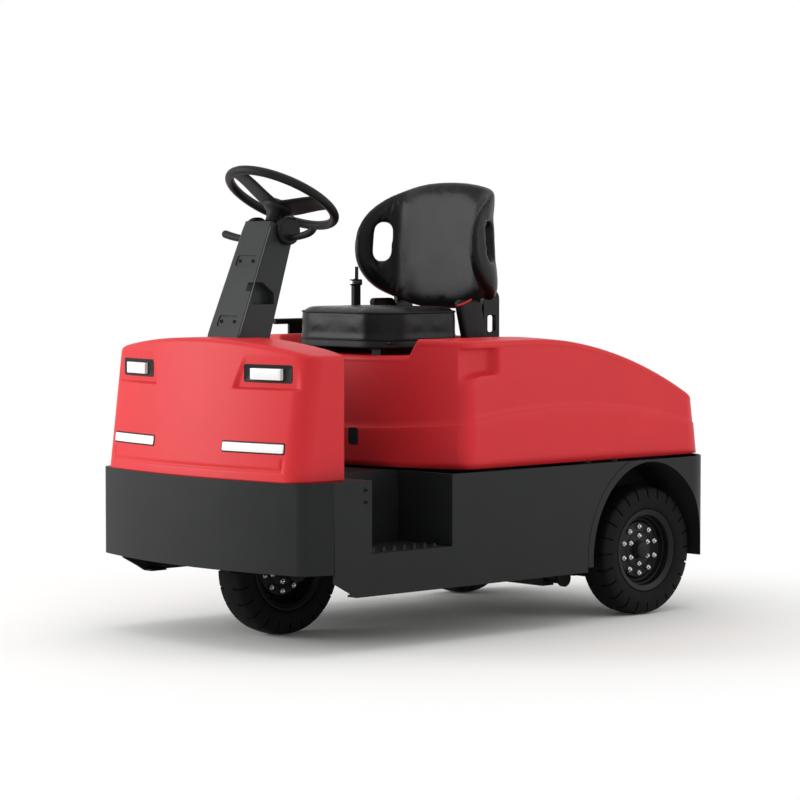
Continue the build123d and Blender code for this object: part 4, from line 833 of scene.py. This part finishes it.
def tyre_grid(centre, half, radius, depth):
    """Tyre turned about X; in each shoulder slot the surface sinks along its own normal by the depth."""
    right = np.vstack([np.array((half, radius)) - np.array(TYRE_SECTION) * MM, (0.0, radius)])
    profile = np.concatenate([right, (right * (-1, 1))[-2::-1]])
    weight = np.zeros(len(right))
    weight[SLOT_ROWS] = 1
    weight[SLOT_ROWS.start] = SLOT_LEAD
    weight = np.concatenate([weight, weight[-2::-1]])
    pitch = 2 * pi / LUGS
    wide = LUG_HALF / (radius - LUG_DROP)
    foot = SLOT_FOOT * wide
    within = np.concatenate([[-foot, -wide, wide], np.linspace(foot, pitch - foot, 9)[:-1]])
    angle = (np.arange(LUGS)[:, None] * pitch + within).ravel()
    sunk = np.tile((np.abs(within) <= wide).astype(float), LUGS)
    step = np.gradient(profile, axis=0)
    normal = np.stack([-step[:, 1], step[:, 0]], axis=-1)
    normal = normal / np.linalg.norm(normal, axis=1)[:, None]
    sink = depth * weight[:, None] * sunk[None, :]
    x = profile[:, :1] + normal[:, :1] * sink
    r = profile[:, 1:] + normal[:, 1:] * sink
    return xyz(x, r * np.cos(angle), r * np.sin(angle)) + centre


def rim_profile(half, hub):
    """Section of the dished rim as (x, radius), from the hub cap out over disc, barrel and lip and back."""
    lip = half - LIP_INSET
    runs = ((hub, HUB_CAP), (DISC_FACE, DISC), (lip, OUTER_LIP), (-lip, INNER_LIP), (0, DISC_BACK))
    return np.concatenate([np.array(run) * MM + (start, 0) for start, run in runs])


def nut_patches():
    """Six-sided nuts with a chamfer and a round stud end, on two circles of the disc."""
    nut, stud = (np.array(rows) * (MM, sizes().nut) for rows in (NUT, STUD))
    made = []
    for count, ring in NUT_RINGS:
        for index in range(count):
            angle = (index + 0.5) * 2 * pi / count
            place = (DISC_FACE, ring * cos(angle), ring * sin(angle))
            made += [lathe(nut, place, 6, angle), lathe(stud, place, 12)]
    return joined(made)


class TUG_OT_wheels(bpy.types.Operator):
    """Makes tyres, dished rims and wheel nuts"""

    bl_idname = "tug.wheels"
    bl_label = "Wheels"

    def execute(self, context):
        for name, (body, side) in WHEELS.items():
            tyre_node, rim_node, centre, half, radius = wheel_nodes(name)
            grid = tyre_grid(centre, half, radius, sizes().lug_depth)
            piece(f"{name}_tyre_moulded", [tube(grid)], body, "tyre_rubber", [tyre_node], 30)
            reach = np.abs(np.array(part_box(rim_node))[:, 0] - centre[0]).max()
            profile = rim_profile(half, min(reach - HUB_INSET, HUB_MOST))
            rim, nuts = ((points * (side, 1, 1) + centre, quads)
                         for points, quads in (lathe(profile, (0, 0, 0), 72), nut_patches()))
            piece(f"{name}_rim_pressed", [rim], body, "black_steel", [rim_node], 28)
            piece(f"{name}_wheel_nuts", [nuts], body, "bright_steel", (), 25)
        return {"FINISHED"}


# Steering wheel

WHEEL_CENTRE = np.array((0.0, -0.555, 1.33))
WHEEL_TILT = radians(28.9)
WHEEL_TUBE = 0.014
WHEEL_DISH = 0.034
SPOKES = 3
SPOKE_START = radians(-108)
SPOKE_FOOT = 0.15  # share of the reach at which a spoke leaves the hub
SPOKE_ROOT = 0.048  # half a spoke's width at the hub and at the rim
SPOKE_TIP = 0.038
SPOKE_HALF_THICK = 0.0065
SPOKE_POWERS = (0.6, 0.8)  # squareness of a spoke's section
HUB_SECTION = (  # rise from the rim's plane and radius
    (-0.106, 0.0), (-0.106, 0.012), (-0.088, 0.012), (-0.086, 0.021), (-0.065, 0.024), (-0.05, 0.032),
    (-0.045, 0.041), (-0.035, 0.046), (-0.026, 0.045), (-0.02, 0.04), (-0.017, 0.03), (-0.0165, 0.0))


def wheel_frame(points):
    """Points of the wheel's own frame, Z along its shaft, tilted and moved to the vehicle's."""
    x, y, z = np.moveaxis(points, -1, 0)
    c, s = cos(WHEEL_TILT), sin(WHEEL_TILT)
    return xyz(x, y * c + z * s, z * c - y * s) + WHEEL_CENTRE


def spoke_grid(turn, reach):
    """Spoke from hub to rim: a flattened oval section that narrows outwards on an S-shaped rise."""
    u = np.linspace(SPOKE_FOOT, 1, 18)[:, None]
    v = circle(24)
    along = u * reach
    aside = (SPOKE_ROOT + (SPOKE_TIP - SPOKE_ROOT) * u) * bulged(np.cos(v), SPOKE_POWERS[0])
    rise = WHEEL_DISH * (u ** 2 * (3 - 2 * u) - 1) + SPOKE_HALF_THICK * bulged(np.sin(v), SPOKE_POWERS[1])
    return xyz(along * cos(turn) - aside * sin(turn), along * sin(turn) + aside * cos(turn), rise)


class TUG_OT_steering_wheel(bpy.types.Operator):
    """Makes the steering wheel"""

    bl_idname = "tug.steering_wheel"
    bl_label = "Steering wheel"

    def execute(self, context):
        low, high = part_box("steering_wheel")
        reach = (high[0] - low[0]) / 2 - WHEEL_TUBE
        u, v = circle(128)[:, None], circle(20)
        ring = reach + WHEEL_TUBE * np.cos(v)
        rim = xyz(ring * np.cos(u), ring * np.sin(u), WHEEL_TUBE * np.sin(v))
        z, r = np.array(HUB_SECTION).T[:, :, None]
        angle = circle(48)
        hub = xyz(r * np.cos(angle), r * np.sin(angle), z)
        spokes = [spoke_grid(SPOKE_START + index * 2 * pi / SPOKES, reach) for index in range(SPOKES)]
        parts = [tube(wheel_frame(grid)) for grid in (*spokes, hub)]
        piece("steering_wheel_moulded", [patch(wheel_frame(rim), True, True), *parts], "steering_wheel",
              "black_plastic", ["steering_wheel"], 40)
        return {"FINISHED"}


# Controls and small trim

POD = (-0.5944, 1.2085)  # Y and Z where the stalks leave the pods
STALKS = {  # side: X, rise and radius in millimetres along each stalk
    1: ((0.07, 0.0, 9), (0.10, 0.0, 10), (0.145, 0.008, 11), (0.180, 0.012, 12), (0.192, 0.032, 11)),
    -1: ((0.07, 0.0, 9), (0.12, -0.006, 10), (0.165, -0.002, 12), (0.205, 0.008, 13), (0.230, 0.014, 12)),
}
STEM_END = 24  # power that keeps a bar's thickness up to its rounded ends
STEM_SIDE = ((0.0, 1.0, 0.0), (0.0, 0.28, 0.96))  # a direction beside a bar along X, and beside any other
COLUMN_FRONT = ((-0.793, 0.909), (-0.6496, 1.260))  # Y and Z of the leaning front face's ends
COLUMN_HALF = (0.076, 0.0643)
COLUMN_EDGE = 0.0026  # rounded edge's middle, in from the corner
PADS = (0.145, 0.659)  # pads' middles as shares of the front face
PAD_RECESS = 0.003
# The bead along each front edge of the column sits at a seam and is made lighter grey than the column as a
# painted highlight of that edge.
BEAD = (1.5, 1.5, 1.5)  # bead's radius along the edge, millimetres
BEAD_ENDS = (0.01, 0.97)  # its ends as shares of the front face
SCREW_X = 0.030
SCREW = ((-2, 5.5), (2.6, 5.5), (3.2, 5), (3.2, 3.8), (0.3, 3.6), (0.3, 0))  # rise and radius, millimetres
PLATE_SCREWS = ((-0.6665, 0.4764), (-0.6665, 0.4415))
CLIP = (-0.246, -0.030)  # belt clip's middle
CLIP_BAND = ((0.0078, 0.0232, 1.061, 1.071), (0.0032, 0.0088, 1.077, 1.1165))  # half sizes, bottom and top
COLLAR_CORNER = 0.6  # share of a collar's half size that is rounded
COLLAR_CLOSE = 0.9  # share by which its ends are drawn in
TAB = ((0.214, -0.022, 0.998), (0.215, 0.01, 1.004), (0.215, 0.042, 1.018))
TAB_RADII = (2.5, 3.5, 2.5)  # millimetres


def stem(points, radii):
    """Round bar on a Bernstein curve from its first point to its last, with rounded ends."""
    count = len(points) - 1
    t = np.linspace(0, 1, 40)
    share = np.stack([comb(count, k) * t ** k * (1 - t) ** (count - k) for k in range(count + 1)], axis=1)
    line = share @ np.asarray(points)
    end = np.sqrt(np.clip(1 - np.abs(2 * t - 1) ** STEM_END, 0, 1))
    radius = (share @ np.asarray(radii)) * end * MM
    along = np.gradient(line, axis=0)
    along = along / np.linalg.norm(along, axis=1)[:, None]
    aside = np.cross(along, STEM_SIDE[int(abs(along[0, 0]) < 0.5)])
    aside = aside / np.linalg.norm(aside, axis=1)[:, None]
    third = np.cross(along, aside)
    turn = circle(16)[:, None]
    ring = aside[:, None] * np.cos(turn) + third[:, None] * np.sin(turn)
    return tube(line[:, None] + radius[:, None, None] * ring)


def screw(place, up, out):
    """Socket screw: its section turned about the direction out."""
    rise, radius = np.array(SCREW).T[:, :, None, None] * MM
    turn = circle(18)[:, None]
    ring = np.cos(turn) * np.cross(up, out) + np.sin(turn) * np.asarray(up)
    return tube(np.asarray(place) + rise * np.asarray(out) + radius * ring)


def collar(middle, half_a, half_b, bottom, top):
    """Rounded block round an upright piece: a rounded rectangle carried up, drawn in at its ends."""
    close = half_a * COLLAR_CLOSE
    grid = []
    for inset, z in ((close, bottom), (0, bottom), (0, top), (close, top)):
        a, b = rounded_loop(half_a - inset, half_b - inset, (half_a - inset) * COLLAR_CORNER, 4, 3)
        grid.append(xyz(middle[0] + a, middle[1] + b, z))
    return tube(np.array(grid))


class TUG_OT_controls(bpy.types.Operator):
    """Makes the stalks, screws, the column's grey bead of painted highlight, the belt clip's band and the
    recliner's tab
    """

    bl_idname = "tug.controls"
    bl_label = "Controls"

    def execute(self, context):
        stalks = []
        for side, rows in STALKS.items():
            x, rise, radii = np.array(rows).T
            stalks.append(stem(xyz(side * x, POD[0], POD[1] + rise), radii))
        piece("stalks_moulded", stalks, "chassis", "black_plastic", ["control_stalks"], 50)
        foot, head = (np.array((0, *end)) for end in COLUMN_FRONT)
        up = (head - foot) / np.linalg.norm(head - foot)
        out = np.array((0, -up[2], up[1]))
        pads = [foot + (head - foot) * share - PAD_RECESS * out for share in PADS]
        screws = [screw(place + (x, 0, 0), up, out) for place in pads for x in (-SCREW_X, SCREW_X)]
        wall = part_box("side_plate_left")[1][0]
        screws += [screw((wall, y, z), (0, 0, 1), (1, 0, 0)) for y, z in PLATE_SCREWS]
        piece("trim_screws", screws, "chassis", "black_steel", (), 40)
        # The bead is a seam, with its lighter grey painted highlight of the column's rounded edge.
        low, high = (foot + (head - foot) * share + (half - COLUMN_EDGE, COLUMN_EDGE, 0)
                     for half, share in zip(COLUMN_HALF, BEAD_ENDS))
        bead = stem([low, (low + high) / 2, high], BEAD)
        piece("column_highlight_bead", [bead, mirrored(bead)], "chassis", "black_plastic", look="grey_edge_highlight")
        piece("belt_clip_band", [collar(CLIP, *band) for band in CLIP_BAND], "hood", "bright_steel")
        piece("recliner_tab", [stem(TAB, TAB_RADII)], "hood", "red_moulding")
        return {"FINISHED"}


# Seat

VOXEL = 0.006
PRESSURE = 4.0
FRAMES = 20
BACK_FLAT = 0.16  # half width of the backrest's straight middle
BACK_BEND = 0.09  # radius of the bend into each wing
BACK_TURN = radians(75)
BACK_REACH = 0.364  # middle to a wing's tip, along the bend
BACK_RISE = 0.201  # middle up to the top, and down to the foot
BACK_DROP = 0.212
BACK_POWER = 2.2  # squareness of the backrest's outline
BACK_ROUND = (0.35, 0.5)  # powers that square its rim and its faces
BACK_HALF_THICK = 0.03
BACK_RECLINE = 0.052
BACK_MIDDLE = (0.137, 1.19)  # Y and Z of the backrest's middle
WING_BACK = (0.0175, 0.14)  # a wing's half thickness behind its middle line, and its loss for each metre up
WING_RANGE = (0.006, 0.045)
HAND_HOLE = (0.268, 0.008, 0.036, 0.066)  # place along the bend, rise, half width and half height
HOLE_END = 0.1 * MM  # half width to which the cutting bar's end closes
CUSHION_CORNER = 0.11
SEAMS = (0.012, 0.094)  # piping under the cushion's top
SEAM_HOLD = (0.9, 0.009)  # share of the swell that a seam holds back, and how far from it
PIPING = 0.0035
PIPING_INSET = (0.007, 0.005)
SKIRT = ((8, 6), (4, 0), (4, -17), (9, -20), (24, -20))  # inset and rise, millimetres
RECLINER = (0.055, 0.95, 0.048, 0.066)  # recliner cover's middle in Y and Z, half its depth and height
RECLINER_X = 0.202
RECLINER_CORNER = 0.018
RECLINER_LEAN = 0.25
RECLINER_RINGS = ((0, -14), (0, 4), (2, 7), (6, 9), (14, 10))  # inset and height, millimetres


def back_frame(s, d, z):
    """Point of the backrest: s along its bent middle line, d ahead of it, z up, leaning back with height."""
    far = np.abs(s)
    turn = np.clip((far - BACK_FLAT) / BACK_BEND, 0, BACK_TURN)
    beyond = np.maximum(far - BACK_FLAT - BACK_BEND * BACK_TURN, 0)
    x = np.minimum(far, BACK_FLAT) + BACK_BEND * np.sin(turn) + beyond * cos(BACK_TURN) - d * np.sin(turn)
    y = -BACK_BEND * (1 - np.cos(turn)) - beyond * sin(BACK_TURN) - d * np.cos(turn)
    return xyz(np.sign(s) * x, BACK_MIDDLE[0] + y + BACK_RECLINE * z, BACK_MIDDLE[1] + z)


def back_form():
    """Backrest before padding: a flat superellipsoid bent into wings that thin out towards the top."""
    angle = circle(120)
    over = np.linspace(0, pi, 41)[:, None]
    out = np.abs(np.sin(over)) ** BACK_ROUND[0]
    s = BACK_REACH * out * bulged(np.cos(angle), 2 / BACK_POWER)
    z = out * bulged(np.sin(angle), 2 / BACK_POWER)
    z = np.where(z > 0, BACK_RISE, BACK_DROP) * z
    wing = ramp((np.abs(s) - BACK_FLAT) / BACK_BEND)
    behind = np.clip(WING_BACK[0] - WING_BACK[1] * z, *WING_RANGE)
    behind = BACK_HALF_THICK + wing * (behind - BACK_HALF_THICK)
    d = bulged(np.cos(over), BACK_ROUND[1]) * np.where(np.cos(over) < 0, behind, BACK_HALF_THICK)
    return tube(back_frame(s, d, z))


def hole_form(side):
    """Oval bar that cuts a wing's hand hole: a rounded rectangle carried through the wall."""
    place, rise, wide, tall = HAND_HOLE
    reach = 3 * BACK_HALF_THICK
    rings = np.array(((wide - HOLE_END, -reach), (0, -reach), (0, reach)))
    a, b, h = cap(wide, tall, wide, rings / MM)
    return tube(back_frame(side * (place + a), h, rise + b))


def plain(name, part):
    """Object of its own from one patch."""
    return linked(name, weld(raw_mesh(name, [part])))


def points_of(mesh):
    """Array of a mesh's points."""
    flat = np.empty(3 * len(mesh.vertices))
    mesh.vertices.foreach_get("co", flat)
    return flat.reshape(-1, 3)


def evaluated_copy(made):
    """Mesh of an object with its modifiers applied."""
    graph = bpy.context.evaluated_depsgraph_get()
    return bpy.data.meshes.new_from_object(made.evaluated_get(graph))


def padding(made, seams=()):
    """Padded mesh from a form: remeshed, pressed out as cloth, its moves capped and held at the seams."""
    modifier(made, "REMESH", mode="VOXEL", voxel_size=VOXEL)
    modifier(made, "SMOOTH", factor=0.5, iterations=10)
    even = evaluated_copy(made)
    made.modifiers.clear()
    made.data = even
    start = points_of(even)
    cloth = modifier(made, "CLOTH")
    cloth.settings.use_pressure = True
    cloth.settings.uniform_pressure_force = PRESSURE
    cloth.settings.effector_weights.gravity = 0
    cloth.settings.quality = 4
    cloth.point_cache.frame_start = 1
    cloth.point_cache.frame_end = FRAMES
    for step in range(1, FRAMES + 1):
        bpy.context.scene.frame_set(step)
    moved = points_of(evaluated_copy(made)) - start
    made.modifiers.clear()
    bpy.context.scene.frame_set(1)
    far = np.maximum(np.linalg.norm(moved, axis=1)[:, None], TINY)
    free = np.ones(len(start))
    hold, near = SEAM_HOLD
    for height in seams:
        free *= 1 - hold * np.exp(-((start[:, 2] - height) / near) ** 2)
    held = start + moved / far * np.minimum(far, sizes().swell) * free[:, None]
    even.vertices.foreach_set("co", held.ravel())
    bpy.data.objects.remove(made)
    return even


def padded_back():
    """Padded mesh of the backrest, with a hand hole cut through each wing first."""
    back = plain("backrest_form", back_form())
    holes = [plain(f"hand_hole_{side}", hole_form(side)) for side in (-1, 1)]
    for hole in holes:
        modifier(back, "BOOLEAN", object=hole, operation="DIFFERENCE", solver="EXACT")
    cut = evaluated_copy(back)
    back.modifiers.clear()
    back.data = cut
    for hole in holes:
        bpy.data.objects.remove(hole)
    return padding(back)


def padded_cushion(seams):
    """Padded mesh of the cushion, from a welded copy of its CAD node."""
    mesh = weld(frame["nodes"]["seat_cushion"].data.copy(), CAD_GAP, outward=False)
    return padding(linked("seat_cushion_form", mesh), seams)


def cushion_loop(inset):
    """Cushion's outline in plan, drawn in by inset, as X and Y."""
    low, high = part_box("seat_cushion")
    half, deep = (high[0] - low[0]) / 2, (high[1] - low[1]) / 2
    a, b = rounded_loop(half - inset, deep - inset, CUSHION_CORNER - inset, 12, 20)
    return a, (low[1] + high[1]) / 2 + b


def piping_tube(inset, z):
    """Cord round the cushion: a circle carried along its outline, standing on the outward side."""
    a, b = cushion_loop(inset)
    along = np.stack([np.roll(a, -1) - np.roll(a, 1), np.roll(b, -1) - np.roll(b, 1)])
    along = along / np.linalg.norm(along, axis=0)
    turn = circle(10)[:, None]
    x = a + PIPING * np.cos(turn) * along[1]
    y = b - PIPING * np.cos(turn) * along[0]
    return patch(xyz(x, y, z + PIPING * np.sin(turn)), True, True)


class TUG_OT_seat(bpy.types.Operator):
    """Makes the padded cushion and backrest, the cushion's piping and skirt, and the recliner covers"""

    bl_idname = "tug.seat"
    bl_label = "Seat"

    def execute(self, context):
        low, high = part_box("seat_cushion")
        seams = [high[2] - drop for drop in SEAMS]
        for node, mesh in (("seat_cushion", padded_cushion(seams)), ("seat_back", padded_back())):
            made = dressed(f"{node}_padded", mesh, "hood", "seat_vinyl", [node], 60)
            modifier(made, "SUBSURF", levels=1, render_levels=1)
        cords = [piping_tube(inset, z) for inset, z in zip(PIPING_INSET, seams)]
        piece("cushion_piping", cords, "hood", "black_plastic")
        skirt = []
        for inset, rise in np.array(SKIRT) * MM:
            x, y = cushion_loop(inset)
            skirt.append(xyz(x, y, low[2] + rise))
        piece("cushion_skirt", [tube(np.array(skirt))], "hood", "black_plastic")
        y, z, deep, tall = RECLINER
        a, b, h = cap(deep, tall, RECLINER_CORNER, RECLINER_RINGS)
        cover = tube(xyz(RECLINER_X + h, y + a - RECLINER_LEAN * b, z + b))
        piece("recliner_covers", [cover, mirrored(cover)], "hood", "black_plastic")
        return {"FINISHED"}


# Stage

CAMERA_PLACE = (6.9308, -6.5143, 1.2124)
CAMERA_TARGET = (0.0, -0.065, 0.6971)
CAMERA_LENS = 134.93
CAMERA_SENSOR = 36
LIGHTS = {  # place, size and power
    "front_softbox": ((-3.4, -4.2, 2.0), 2.4, 150),
    "side_softbox": ((4.2, 3.4, 1.9), 2.4, 40),
    "top_softbox": ((0.2, 0.0, 4.6), 4.0, 40),
}
LIGHT_TARGET = (0, 0, 0.6)
AMBIENT = 0.78
WHITE = (1, 1, 1, 1)
FLOOR_HALF = 30
FADE = (1.0, 2.0)  # metres from the tractor's middle over which the floor turns white to the camera


def aimed(made, place, target):
    """Puts an object in place and turns its -Z axis to a point."""
    made.location = place
    direction = Vector(target) - made.location
    made.rotation_euler = direction.to_track_quat("-Z", "Y").to_euler()
    return made


def any_ray(tree, *kinds):
    """1 for rays of any of the kinds named, and 0 for others."""
    path = add(tree, "ShaderNodeLightPath")
    seen = path.outputs[kinds[0]]
    for kind in kinds[1:]:
        most = add(tree, "ShaderNodeMath", {"operation": "MAXIMUM"}, {0: seen, 1: path.outputs[kind]})
        seen = most.outputs["Value"]
    return seen


def studio_floor():
    """Pale studio floor: matt paint that keeps the shadow, fading to plain white away from the tractor."""
    made, tree, shader, place = blank("pale_floor_paint")
    cloud = noise(tree, place, size_mm=900, detail=2.0)
    settle(tree, shader, {"Roughness": 0.9, "Specular IOR Level": 0.1}, {
        "Base Color": tint(tree, cloud, tuple(colours().floor), dark=0.985, light=1.0)})
    away = add(tree, "ShaderNodeVectorMath", {"operation": "LENGTH"}, {0: place})
    fade = {"From Min": FADE[0], "From Max": FADE[1], "interpolation_type": "SMOOTHSTEP"}
    white = add(tree, "ShaderNodeMapRange", fade, {"Value": away.outputs["Value"]})
    share = add(tree, "ShaderNodeMath", {"operation": "MULTIPLY"},
                {0: white.outputs["Result"], 1: any_ray(tree, "Is Camera Ray", "Is Glossy Ray")})
    glow = add(tree, "ShaderNodeEmission", {"Color": WHITE, "Strength": 1.0})
    both = add(tree, "ShaderNodeMixShader", links={
        0: share.outputs["Value"], 1: shader.outputs["BSDF"], 2: glow.outputs["Emission"]})
    tree.links.new(both.outputs["Shader"], tree.nodes["Material Output"].inputs["Surface"])
    return made


class TUG_OT_stage(bpy.types.Operator):
    """Makes the floor, the lights, the world and the camera"""

    bl_idname = "tug.stage"
    bl_label = "Stage"

    def execute(self, context):
        scene = context.scene
        scene.view_settings.view_transform = "Standard"
        lens = bpy.data.cameras.new("photo_camera")
        lens.lens = CAMERA_LENS
        lens.sensor_width = CAMERA_SENSOR
        scene.camera = aimed(linked("photo_camera", lens), CAMERA_PLACE, CAMERA_TARGET)
        for name, (place, size, power) in LIGHTS.items():
            light = bpy.data.lights.new(name, "AREA")
            light.shape = "SQUARE"
            light.size = size
            light.energy = power
            aimed(linked(name, light), place, LIGHT_TARGET)
        scene.world = bpy.data.worlds.new("studio")
        scene.world.use_nodes = True
        tree = scene.world.node_tree
        seen = any_ray(tree, "Is Camera Ray", "Is Transmission Ray", "Is Glossy Ray")
        settle(tree, tree.nodes["Background"], {"Color": WHITE}, {"Strength": span(tree, seen, AMBIENT, 1.0)})
        x, y = np.meshgrid(*[np.linspace(-FLOOR_HALF, FLOOR_HALF, 3)] * 2)
        floor = linked("floor", raw_mesh("floor", [patch(xyz(x, y, 0.0))]))
        floor.data.materials.append(studio_floor())
        return {"FINISHED"}


class TUG_PT_panel(bpy.types.Panel):
    """Lists the tractor's operators, sizes and colours"""

    bl_idname = "TUG_PT_panel"
    bl_label = "Tow tractor"
    bl_space_type = "VIEW_3D"
    bl_region_type = "UI"
    bl_category = "Tow tractor"

    def draw(self, context):
        for kind in OPERATORS:
            self.layout.operator(kind.bl_idname)
        for group in (context.scene.tug_sizes, context.scene.tug_colours):
            for name in group.bl_rna.properties.keys():
                if name not in ("rna_type", "name"):
                    self.layout.prop(group, name)


OPERATORS = (TUG_OT_finishes, TUG_OT_hood, TUG_OT_console_slot, TUG_OT_cowl, TUG_OT_lamps, TUG_OT_wheels,
             TUG_OT_steering_wheel, TUG_OT_controls, TUG_OT_seat, TUG_OT_stage)
CLASSES = (TugColours, TugSizes, *OPERATORS, TUG_PT_panel)


def register():
    for kind in CLASSES:
        bpy.utils.register_class(kind)
    bpy.types.Scene.tug_colours = bpy.props.PointerProperty(type=TugColours)
    bpy.types.Scene.tug_sizes = bpy.props.PointerProperty(type=TugSizes)


def unregister():
    del bpy.types.Scene.tug_sizes
    del bpy.types.Scene.tug_colours
    for kind in reversed(CLASSES):
        bpy.utils.unregister_class(kind)


def main():
    register()
    for kind in OPERATORS:
        group, name = kind.bl_idname.split(".")
        getattr(getattr(bpy.ops, group), name)()


if __name__ == "__main__":
    main()
